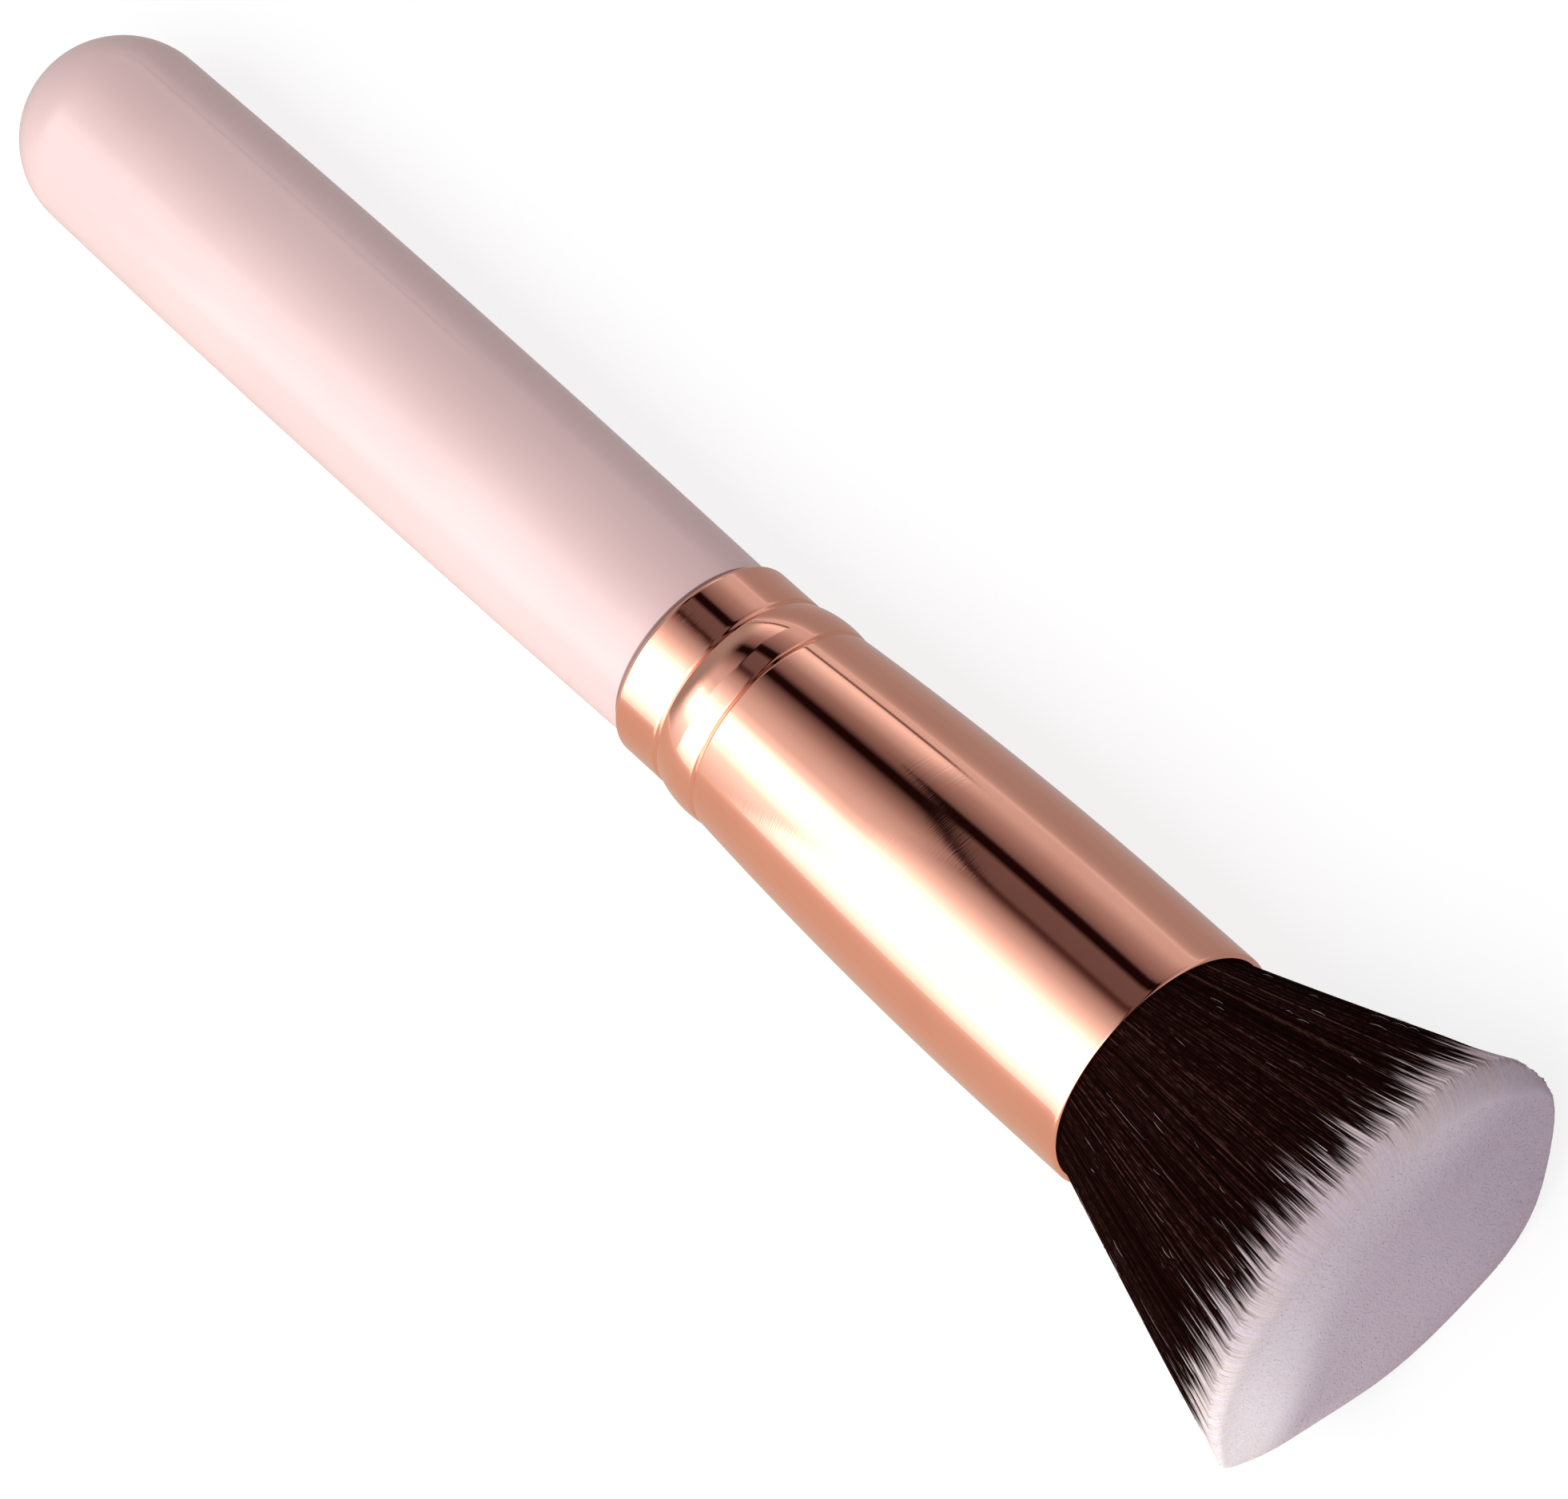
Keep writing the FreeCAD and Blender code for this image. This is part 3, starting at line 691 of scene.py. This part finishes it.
def painted_tip_light_at(points):
    """How pale the tips are painted: painted light most at the side that leans to the light, painted shade in
    the grey part of the top.
    """
    pale = np.interp(points[:, 1], *zip(*PAINTED_LIGHT_ACROSS))
    grey = np.interp(points[:, 1], *zip(*GREY_ACROSS))
    inside = np.interp(points[:, 1], *zip(*GREY_EDGE)) - points[:, 2]
    inside = np.clip(0.5 + 0.5 * inside / GREY_FADE, 0.0, 1.0)
    below_top = TIP_PLACE - TOP_SKEW * points[:, 1] - points[:, 0]
    near_top = np.clip(1.0 - below_top / EDGE_FADE, 0.0, 1.0)
    shade = EDGE_SHADE * np.clip(points[:, 2] / EDGE_SHADE_ABOVE, 0.0, 1.0)
    on_top = np.clip(1.0 - (below_top + shade) / EDGE_FADE, 0.0, 1.0) ** 2
    flank = np.interp(points[:, 1], *zip(*FLANK_PAINTED_LIGHT_ACROSS))
    pale = flank + (pale - flank) * on_top
    share = near_top * inside * inside * (3.0 - 2.0 * inside)
    return pale * (1.0 - share) + grey * share


light_corner, top_middle = (TIP_PLACE, -TOP_HALF_WIDTH, 0.0), (TIP_PLACE, 0.0, 0.0)
print("paleness at the light corner and at the middle:",
      np.round(painted_tip_light_at(np.array([light_corner, top_middle])), 2))

# %% [markdown]
# The rows of the core are joined into one closed skin. Each column of it has its own tone and its own edge of
# the dye, measured along the column; on the top the tones fade into the even speckle of cut ends.

# %% Skin of the core
SHORT_STREAK, LONG_STREAK = 0.6, 6.0
CUT_END_TONES = (0.35, 0.65)
core_rows = np.concatenate([np.array(held_rows), free_rows])
core_points = core_rows.reshape(-1, 3)
last_row = (len(core_rows) - 1) * CORE_COLUMNS
core_faces = []
for low in range(0, last_row, CORE_COLUMNS):
    high = low + CORE_COLUMNS
    for column in range(CORE_COLUMNS):
        beside = (column + 1) % CORE_COLUMNS
        core_faces.append((low + column, low + beside, high + beside, high + column))
core_faces.append(tuple(range(CORE_COLUMNS - 1, -1, -1)))
core_faces.append(tuple(range(last_row, last_row + CORE_COLUMNS)))

hair_core = new_piece("hair_core", core_points, core_faces, hair_finish, sharp_degrees=60.0)
core_reach = dye_reach_at(core_turns, bundle_of(core_turns)) + rng.normal(0.0, DYE_SPREAD, CORE_COLUMNS)
flank_length = core_walked[len(core_climbs) - 1]
core_reach = with_white_tips(core_reach, flank_length, core_turns)
facing_up = np.clip(np.sin(core_turns) + PAST_SIDE, 0.0, 1.0)
streak = SHORT_STREAK + (LONG_STREAK - SHORT_STREAK) * facing_up
faded = np.clip((core_walked - flank_length) / streak, 0.0, 1.0)
speckle = rng.uniform(*CUT_END_TONES, core_walked.shape)
free_tones = core_tones * (1.0 - faded) + speckle * faded
held_tones = np.tile(core_tones, (len(held_rows), 1))
held_past_dye = np.full((len(held_rows), CORE_COLUMNS), -HAIR_LENGTH)
carry(hair_core, "past_dye", np.concatenate([held_past_dye, core_walked - core_reach]))
carry(hair_core, "hair_tone", np.concatenate([held_tones, free_tones]))
carry(hair_core, "painted_tip_light", painted_tip_light_at(core_points))
print("core faces:", len(core_faces))

# %% [markdown]
# The separate hairs are thin three-sided tubes. Curves with a bevel would be shorter to write, but a mesh
# lets every hair carry its own tone and dye edge.

# %% Helper for hairs
# A hair that rises more steeply than this needs a helper direction across and not above.
STEEP_RUN = 0.7


def hair_tubes(lines, radii, sides=3):
    """Points and faces of closed tubes along centre lines given as (hairs, stations, 3)."""
    hairs, stations, _ = lines.shape
    run = lines[:, -1] - lines[:, 0]
    run /= np.linalg.norm(run, axis=1, keepdims=True)
    helper = np.where(np.abs(run[:, 2:3]) < STEEP_RUN, [[0.0, 0.0, 1.0]], [[0.0, 1.0, 0.0]])
    first = np.cross(run, helper)
    first /= np.linalg.norm(first, axis=1, keepdims=True)
    second = np.cross(run, first)
    spin = rng.uniform(0.0, 2.0 * math.pi, hairs)
    rings = []
    for side in range(sides):
        angle = spin + side * 2.0 * math.pi / sides
        offset = np.cos(angle)[:, None] * first + np.sin(angle)[:, None] * second
        rings.append(lines + offset[:, None, :] * radii[:, :, None])
    points = np.stack(rings, axis=2).reshape(-1, 3)
    starts = (np.arange(hairs) * stations * sides)[:, None]
    faces = []
    for station in range(stations - 1):
        for side in range(sides):
            beside = (side + 1) % sides
            low, high = station * sides, (station + 1) * sides
            corners = np.array([low + side, low + beside, high + beside, high + side])
            faces.append(starts + corners)
    quads = np.concatenate(faces).tolist()
    root_caps = (starts + np.arange(sides)[::-1]).tolist()
    tip_caps = (starts + (stations - 1) * sides + np.arange(sides)).tolist()
    return points, quads + root_caps + tip_caps


print("hair helper ready")

# %% [markdown]
# First come the hairs of the flank. Their roots start inside the mouth, so no gap shows at the lip, and their
# tips sink into the core just before the top, so the flank turns into the top without a line. Hairs of one
# bundle lean together towards the tip, and no two are cut to quite the same length. The edge of the dye is
# measured along the hair.

# %% Flank hairs
FLANK_HAIRS = 7000
HAIR_RADIUS, HAIR_THICKNESS = 0.05, (0.8, 1.25)
FLANK_SHARES = (0.984, 1.0)
BUNDLE_GATHER, HAIR_WANDER = 0.25, 0.008
CUT_SPREAD, TIP_SINK = 0.03, 0.022
# Each station of a hair has its climb, its share of the thickness and its share of the sinking.
FLANK_STATIONS = [(-0.06, 1.0, 0.0), (0.10, 1.0, 0.0), (0.22, 1.0, 0.0), (0.34, 1.0, 0.0), (0.46, 0.97, 0.0),
                  (0.58, 0.94, 0.0), (0.72, 0.9, 0.0), (0.88, 0.7, 0.25), (1.0, 0.3, 1.0)]
flank_climbs, flank_taper, flank_sink = np.array(FLANK_STATIONS).T


def make_flank_hairs():
    """Tubes of the flank hairs, how far each station is past the dye, and the tone of each hair."""
    turn = rng.uniform(0.0, 2.0 * math.pi, FLANK_HAIRS)
    bundle = bundle_of(turn)
    share = rng.uniform(*FLANK_SHARES, FLANK_HAIRS)
    towards = turn_between(turn, bundle_turns[bundle])
    wander = rng.normal(0.0, HAIR_WANDER, FLANK_HAIRS)
    cut = 1.0 - np.abs(rng.normal(0.0, CUT_SPREAD, FLANK_HAIRS))
    sink = rng.uniform(0.0, TIP_SINK, FLANK_HAIRS)
    stations = []
    for climb, sunk in zip(flank_climbs, flank_sink):
        gather = towards * BUNDLE_GATHER * max(climb, 0.0) ** 2 + wander * climb
        stations.append(tuft_point(turn + gather, share - sink * sunk, climb * cut))
    lines = np.stack(stations, axis=1)
    radii = HAIR_RADIUS * rng.uniform(*HAIR_THICKNESS, FLANK_HAIRS)[:, None] * flank_taper[None, :]
    points, faces = hair_tubes(lines, radii)
    steps = np.linalg.norm(np.diff(lines, axis=1), axis=2)
    behind_mouth = np.full((FLANK_HAIRS, 1), flank_climbs[0] * HAIR_LENGTH)
    walked = np.concatenate([behind_mouth, behind_mouth + np.cumsum(steps, axis=1)], axis=1)
    reach = dye_reach_at(turn, bundle) + rng.normal(0.0, DYE_SPREAD, FLANK_HAIRS)
    reach = with_white_tips(reach, walked[:, -1], turn)
    return points, faces, walked - reach[:, None], rng.uniform(0.0, 1.0, FLANK_HAIRS)


def new_hair_piece(name, points, faces, past_dye, tone):
    """A piece of hair tubes. Each hair has a tone, and each station of it a distance past the dye's edge."""
    piece = new_piece(name, points, faces, hair_finish)
    hairs, stations = past_dye.shape
    sides = len(points) // (hairs * stations)
    carry(piece, "past_dye", np.repeat(past_dye, sides))
    carry(piece, "hair_tone", np.repeat(tone, stations * sides))
    carry(piece, "painted_tip_light", painted_tip_light_at(points))
    return piece


flank_hairs = new_hair_piece("flank_hairs", *make_flank_hairs())
print("flank hairs:", FLANK_HAIRS, "faces:", len(flank_hairs.data.polygons))

# %% [markdown]
# The flat top is the cut ends of all the hairs. Each end is a short tapering stub that just stands out of the
# core, spread over the oval by the golden angle, which fills an area evenly without rows. One end kept its
# dye and shows as a tiny dark fleck.

# %% Cut ends on the flat top
TOP_ENDS = 9000
GOLDEN_ANGLE = math.pi * (3.0 - math.sqrt(5.0))
END_RADIUS, END_THICKNESS = 0.11, (0.8, 1.2)
END_SHARE, END_SHIFT = 0.985, 0.01
MEAN_CUT, CUT_UNEVENNESS = -0.0015, 0.0007
WELL_PAST_DYE = 5.0
FLECK_ACROSS, FLECK_ABOVE = 4.7, -7.9
end_climbs = np.array([0.975, 0.993, 1.0])
end_taper = np.array([1.0, 0.9, 0.3])


def make_top_ends():
    """Tubes of the cut ends, how far each station is past the dye, and the tone of each end."""
    count = np.arange(TOP_ENDS)
    turn = count * GOLDEN_ANGLE + rng.normal(0.0, END_SHIFT, TOP_ENDS)
    flat_share = END_SHARE - edge_rounding(turn) / half_width_at(turn)
    share = np.sqrt((count + 0.5) / TOP_ENDS) * flat_share
    cut = rng.normal(MEAN_CUT, CUT_UNEVENNESS, TOP_ENDS)
    lines = np.stack([tuft_point(turn, share, climb + cut) for climb in end_climbs], axis=1)
    radii = END_RADIUS * rng.uniform(*END_THICKNESS, TOP_ENDS)[:, None] * end_taper[None, :]
    points, faces = hair_tubes(lines, radii)
    past_dye = np.full((TOP_ENDS, len(end_climbs)), WELL_PAST_DYE)
    fleck = np.argmin(np.hypot(lines[:, -1, 1] - FLECK_ACROSS, lines[:, -1, 2] - FLECK_ABOVE))
    past_dye[fleck] = -WELL_PAST_DYE
    return points, faces, past_dye, rng.uniform(*CUT_END_TONES, TOP_ENDS)


top_ends = new_hair_piece("top_ends", *make_top_ends())
print("cut ends:", TOP_ENDS, "faces:", len(top_ends.data.polygons))

# %% [markdown]
# A tuft fresh from its wrapper has a few stray hairs that lie across the others, and here and there a short
# stretch of hair is painted paler, as a painted glint of light. They are what makes the dark flank look like
# hair and not like paint.

# %% Stray hairs and painted glints
STRAY_HAIRS, STRAY_LENGTHS, STRAY_RADIUS, STRAY_PAST_DYE = 8, (0.10, 0.26), 0.018, (0.0, 0.6)
# Glints are painted highlights: short hairs whose colour lies part way past the dye's edge.
PAINTED_GLINTS, GLINT_LENGTHS, GLINT_RADIUS, PAINTED_GLINT_PAST_DYE = 90, (0.02, 0.07), 0.017, (-0.4, 0.7)
STRAY_SLANT, GLINT_SLANT_SHARE = 0.03, 0.2
STRAY_STARTS, STRAY_END = (0.1, 0.75), 0.9
STRAY_SHARE, STRAY_ARCH = 1.002, 0.006
STRAY_TAPER = 0.12
STRAY_TONES = (0.2, 0.7)
stray_stations = np.linspace(0.0, 1.0, 6)


def make_stray_hairs():
    """Tubes of the stray hairs and then of the painted glints, which arch a little over the flank."""
    count = STRAY_HAIRS + PAINTED_GLINTS
    stray = np.arange(count) < STRAY_HAIRS
    turn = rng.uniform(0.0, 2.0 * math.pi, count)
    slant = rng.normal(0.0, STRAY_SLANT, count) * np.where(stray, 1.0, GLINT_SLANT_SHARE)
    low = rng.uniform(*STRAY_STARTS, count)
    length = np.where(stray, rng.uniform(*STRAY_LENGTHS, count), rng.uniform(*GLINT_LENGTHS, count))
    stations = []
    for station in stray_stations:
        climb = np.minimum(low + length * station, STRAY_END)
        share = STRAY_SHARE + STRAY_ARCH * math.sin(station * math.pi)
        stations.append(tuft_point(turn + slant * (station - 0.5), share, climb))
    lines = np.stack(stations, axis=1)
    radius = np.where(stray, STRAY_RADIUS, GLINT_RADIUS)[:, None]
    taper = np.sin(math.pi * (STRAY_TAPER + (1.0 - 2.0 * STRAY_TAPER) * stray_stations))[None, :]
    points, faces = hair_tubes(lines, radius * taper)
    past_dye = np.where(stray, rng.uniform(*STRAY_PAST_DYE, count), rng.uniform(*PAINTED_GLINT_PAST_DYE, count))
    past_dye = np.repeat(past_dye[:, None], len(stray_stations), axis=1)
    return points, faces, past_dye, rng.uniform(*STRAY_TONES, count)


stray_hairs = new_hair_piece("stray_hairs", *make_stray_hairs())
print("stray hairs:", STRAY_HAIRS, "glints:", PAINTED_GLINTS)

# %% [markdown]
# On a real brush the hair bends along its whole free length and not at one place. Here the hair pieces only
# have their placement applied to their points, and the imported parts of the tuft are hidden; nothing bends
# them. An armature with painted weights or a blend from the handle to the tuft could bend them.

# %% Put the hair pieces in place of the imported tuft
for piece in (hair_core, flank_hairs, top_ends, stray_hairs):
    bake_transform(piece)
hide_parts("tuft_root")
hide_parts("tuft_shafts")
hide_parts("tuft_tips")

# %% [markdown]
# A mirror shows its studio. Round this brush stands a light tent: a long white panel on one side, dark cloth
# on the other side above the brush, and dim white beyond it. Behind the handle end the cloth is one narrow
# strip; over the hair end it is wider, with a brown panel that has dark hems and a rounded end. Only shiny
# surfaces need to see it, so the world shows the tent to glossy rays, an even soft light to matt ones, and
# white to the camera. The tent is read from the direction: its turn about the brush picks the place round the
# tent, and its part along the brush picks the handle end or the hair end. The border between the two ends
# shifts with the turn, and so it rounds the end of the brown panel. A picture of a studio could be wrapped
# round the brush instead, but a row of named lights is easier to read and to change.

# %% Light tent
PANEL_LIGHT, TENT_END_LIGHT = 3.0, 0.40
SOFT_LIGHT, SOFT_COLOUR = 0.345, (1.0, 0.91, 0.945, 1.0)
WHITE = (1.0, 1.0, 1.0, 1.0)
# Each stop is a turn in degrees and the light there.
HAIR_END_TENT = [
    (-92, 1.30), (-82, 2.1), (-73, 3.0), (-27, 3.0), (-18, 1.95), (-9, 1.15), (0, 0.70), (9, 0.38),
    (16, 0.10), (19, 0.06), (23, 0.14), (38, 0.15), (42, 0.012), (49, 0.010), (52, 0.16), (57, 0.24),
    (68, 0.38), (80, 0.64), (92, 0.70)]
HANDLE_END_TENT = [
    (-92, 0.90), (-80, 1.1), (-62, 1.6), (-48, 3.0), (-28, 3.0), (-18, 1.38), (-9, 0.88), (0, 0.73),
    (9, 0.53), (18, 0.32), (28, 0.13), (33, 0.012), (40, 0.012), (46, 0.18), (57, 0.33), (68, 0.68),
    (78, 1.15), (82, 1.0), (83, 0.15), (84.5, 0.15), (86, 0.8), (92, 0.72)]
BROWN_START, BROWN_END = 16, 52
HEM_STOPS = [(19, 0.03), (24, 0.012), (49, 0.010)]
beside_brown = [stop for stop in HAIR_END_TENT if not BROWN_START < stop[0] < BROWN_END]
PANEL_HEM_TENT = sorted(beside_brown + HEM_STOPS)
# Each stop is a light and a share: of red in that light, or of green and blue against that red.
CLOTH_RED = [(0.01, 1.0), (0.1, 1.15), (0.5, 1.12), (0.8, 1.0)]
CLOTH_GREEN = [(0.01, 0.30), (0.13, 0.75), (0.35, 0.86), (0.7, 0.98), (1.0, 1.0)]
# Each stop is a turn in degrees and the shift of the border there.
END_BORDER = [(-10, 0.0), (5, 0.012), (16, 0.038), (23, 0.023), (31, 0.013), (36, 0.011), (42, 0.014),
              (50, 0.004), (83, 0.045)]
# Between these parts of the direction along the brush the tent goes over from one look to the next.
HEM_START, HEM_END, FAR_END = (-0.572, -0.558), (-0.554, -0.540), (-0.86, -0.70)


def round_place(degrees):
    """Place of a turn on a row that goes once round the tent."""
    return (degrees + 180) / 360


def cloth_colour(light):
    """Colour of the tent where it gives so much light: dark cloth is warm, bright panel is white."""
    red = light * np.interp(light, *zip(*CLOTH_RED))
    green = red * np.interp(light, *zip(*CLOTH_GREEN))
    return tuple(float(part / PANEL_LIGHT) for part in (red, green, green))


def tent_row(tree, share, stops):
    """One end of the tent: light over the turn about the brush."""
    return colour_row(tree, share, [(round_place(degrees), cloth_colour(light)) for degrees, light in stops])


def make_tent():
    """The world: a tent for shiny surfaces, soft light for matt ones and white for the camera."""
    world = bpy.data.worlds.new("light_tent")
    bpy.context.scene.world = world
    world.use_nodes = True
    tree = world.node_tree
    towards = add_node(tree, "ShaderNodeTexCoord").outputs["Generated"]
    parts = add_node(tree, "ShaderNodeSeparateXYZ", {"Vector": towards})
    turn = add_node(tree, "ShaderNodeMath", {0: parts.outputs["Y"], 1: parts.outputs["Z"]},
                    operation="ARCTAN2")
    round_share = share_between(tree, turn.outputs[0], -math.pi, math.pi)
    hair_end = tent_row(tree, round_share, HAIR_END_TENT)
    panel_hem = tent_row(tree, round_share, PANEL_HEM_TENT)
    handle_end = tent_row(tree, round_share, HANDLE_END_TENT)
    shifts = [(round_place(degrees), (shift, shift, shift)) for degrees, shift in END_BORDER]
    along = add_node(tree, "ShaderNodeMath",
                     {0: parts.outputs["X"], 1: colour_row(tree, round_share, shifts)}, operation="SUBTRACT")
    in_hem = share_between(tree, along.outputs[0], *HEM_START, rise="SMOOTHSTEP")
    past_hem = share_between(tree, along.outputs[0], *HEM_END, rise="SMOOTHSTEP")
    past_end = share_between(tree, parts.outputs["X"], *FAR_END, rise="SMOOTHSTEP")
    hemmed = mix_colours(tree, in_hem, handle_end, panel_hem)
    sides = mix_colours(tree, past_hem, hemmed, hair_end)
    far_light = TENT_END_LIGHT / PANEL_LIGHT
    tent = mix_colours(tree, past_end, (far_light, far_light, far_light, 1.0), sides)
    path = add_node(tree, "ShaderNodeLightPath")
    shiny = add_node(tree, "ShaderNodeBackground", {"Color": tent, "Strength": PANEL_LIGHT})
    matt = add_node(tree, "ShaderNodeBackground", {"Color": SOFT_COLOUR, "Strength": SOFT_LIGHT})
    seen = add_node(tree, "ShaderNodeBackground", {"Color": WHITE, "Strength": 1.0})
    lit = add_node(tree, "ShaderNodeMixShader",
                   {0: path.outputs["Is Glossy Ray"], 1: matt.outputs[0], 2: shiny.outputs[0]})
    shown = add_node(tree, "ShaderNodeMixShader",
                     {0: path.outputs["Is Camera Ray"], 1: lit.outputs[0], 2: seen.outputs[0]})
    tree.links.new(shown.outputs[0], tree.nodes["World Output"].inputs["Surface"])


make_tent()
print("tent panel light:", PANEL_LIGHT)

# %% [markdown]
# Lamps give the matt surfaces their direction. A large one and a low one shine from the panel's side, so the
# handle is bright along one flank and falls off to the other. A third one, nearer to the hair end, keeps the
# flat top readable. None of them shows in the metal, which already mirrors the tent.

# %% Lamps
# Each lamp has a name, a place, a width and a depth in metres, and its watts.
LAMPS = [("panel_lamp", (0.02, -0.33, 0.705), 0.9, 0.4, 4.3),
         ("low_panel_lamp", (0.05, -0.70, 0.12), 0.9, 0.2, 0.9),
         ("end_lamp", (0.55, -0.60, 0.25), 0.4, 0.4, 1.75)]


def add_lamp(name, place, width, depth, watts):
    """A flat lamp that shines on the middle of the brush and that no mirror shows."""
    data = bpy.data.lights.new(name, "AREA")
    data.shape = "RECTANGLE"
    data.size = width
    data.size_y = depth
    data.energy = watts
    lamp = bpy.data.objects.new(name, data)
    bpy.context.scene.collection.objects.link(lamp)
    lamp.location = place
    lamp.rotation_mode = "QUATERNION"
    lamp.rotation_quaternion = (-Vector(place)).to_track_quat("-Z", "Y")
    lamp.visible_glossy = False


for lamp_values in LAMPS:
    add_lamp(*lamp_values)
print("lamps:", [lamp_values[0] for lamp_values in LAMPS])

# %% [markdown]
# The brush lies on a pale table. To the camera the table glows a little, so that it reads as the white paper
# of a product picture and still keeps the brush's soft shadow. In the metal the table shows a painted
# reflection: painted warm light on the lit side, and painted shade and shadow of the brush on the other.

# %% Table
TABLE_RADIUS, TABLE_SIDES = 3.0, 96
TABLE_COLOUR = (0.86, 0.86, 0.865, 1.0)
TABLE_GLOW, TABLE_GLOW_SHARE = 1.13, 0.72
PAINTED_REFLECTION_HALF_WIDTH = 0.4
# Each stop is a place across the table and the painted reflection that shiny pieces see there: painted light,
# then painted shadow of the brush.
PAINTED_TABLE_REFLECTION = [(-0.40, (1.0, 0.90, 0.82)), (-0.10, (0.78, 0.65, 0.56)), (-0.02, (0.72, 0.60, 0.50)),
                  (0.012, (0.47, 0.43, 0.42)), (0.035, (0.42, 0.38, 0.37)), (0.06, (0.42, 0.38, 0.37)),
                  (0.40, (0.78, 0.76, 0.76))]


def make_table():
    """A round table that belongs to the stage and not to the brush, with a painted reflection for shiny
    pieces.
    """
    turns = np.arange(TABLE_SIDES) * 2.0 * math.pi / TABLE_SIDES
    ring = [(TABLE_RADIUS * math.cos(turn), TABLE_RADIUS * math.sin(turn), 0.0) for turn in turns]
    mesh = bpy.data.meshes.new("table")
    mesh.from_pydata(ring, [], [tuple(range(TABLE_SIDES))])
    material = bpy.data.materials.new("white_table")
    material.use_nodes = True
    tree = material.node_tree
    tree.nodes.remove(tree.nodes["Principled BSDF"])
    matt = add_node(tree, "ShaderNodeBsdfDiffuse", {"Color": TABLE_COLOUR})
    glow = add_node(tree, "ShaderNodeEmission", {"Strength": TABLE_GLOW})
    position = add_node(tree, "ShaderNodeNewGeometry").outputs["Position"]
    across = add_node(tree, "ShaderNodeSeparateXYZ", {"Vector": position}).outputs["Y"]
    side = share_between(tree, across, -PAINTED_REFLECTION_HALF_WIDTH, PAINTED_REFLECTION_HALF_WIDTH)
    stops = [(0.5 + 0.5 * place / PAINTED_REFLECTION_HALF_WIDTH, colour) for place, colour in PAINTED_TABLE_REFLECTION]
    # Glossy rays see a glowing painted reflection of the table, with its light and the brush's shadow painted
    # in.
    painted_reflection = add_node(tree, "ShaderNodeEmission", {"Color": colour_row(tree, side, stops), "Strength": 1.0})
    path = add_node(tree, "ShaderNodeLightPath")
    glow_share = add_node(tree, "ShaderNodeMath", {0: path.outputs["Is Camera Ray"], 1: TABLE_GLOW_SHARE},
                          operation="MULTIPLY")
    shown = add_node(tree, "ShaderNodeMixShader",
                     {0: glow_share.outputs[0], 1: matt.outputs[0], 2: glow.outputs[0]})
    both = add_node(tree, "ShaderNodeMixShader",
                    {0: path.outputs["Is Glossy Ray"], 1: shown.outputs[0], 2: painted_reflection.outputs[0]})
    tree.links.new(both.outputs[0], tree.nodes["Material Output"].inputs["Surface"])
    mesh.materials.append(material)
    table = bpy.data.objects.new("table", mesh)
    bpy.context.scene.collection.objects.link(table)


make_table()
print("table radius:", TABLE_RADIUS, "m")

# %% [markdown]
# Last, the colours are shown plainly, with no film look over them.

# %% Finish
bpy.context.scene.view_settings.view_transform = "Standard"
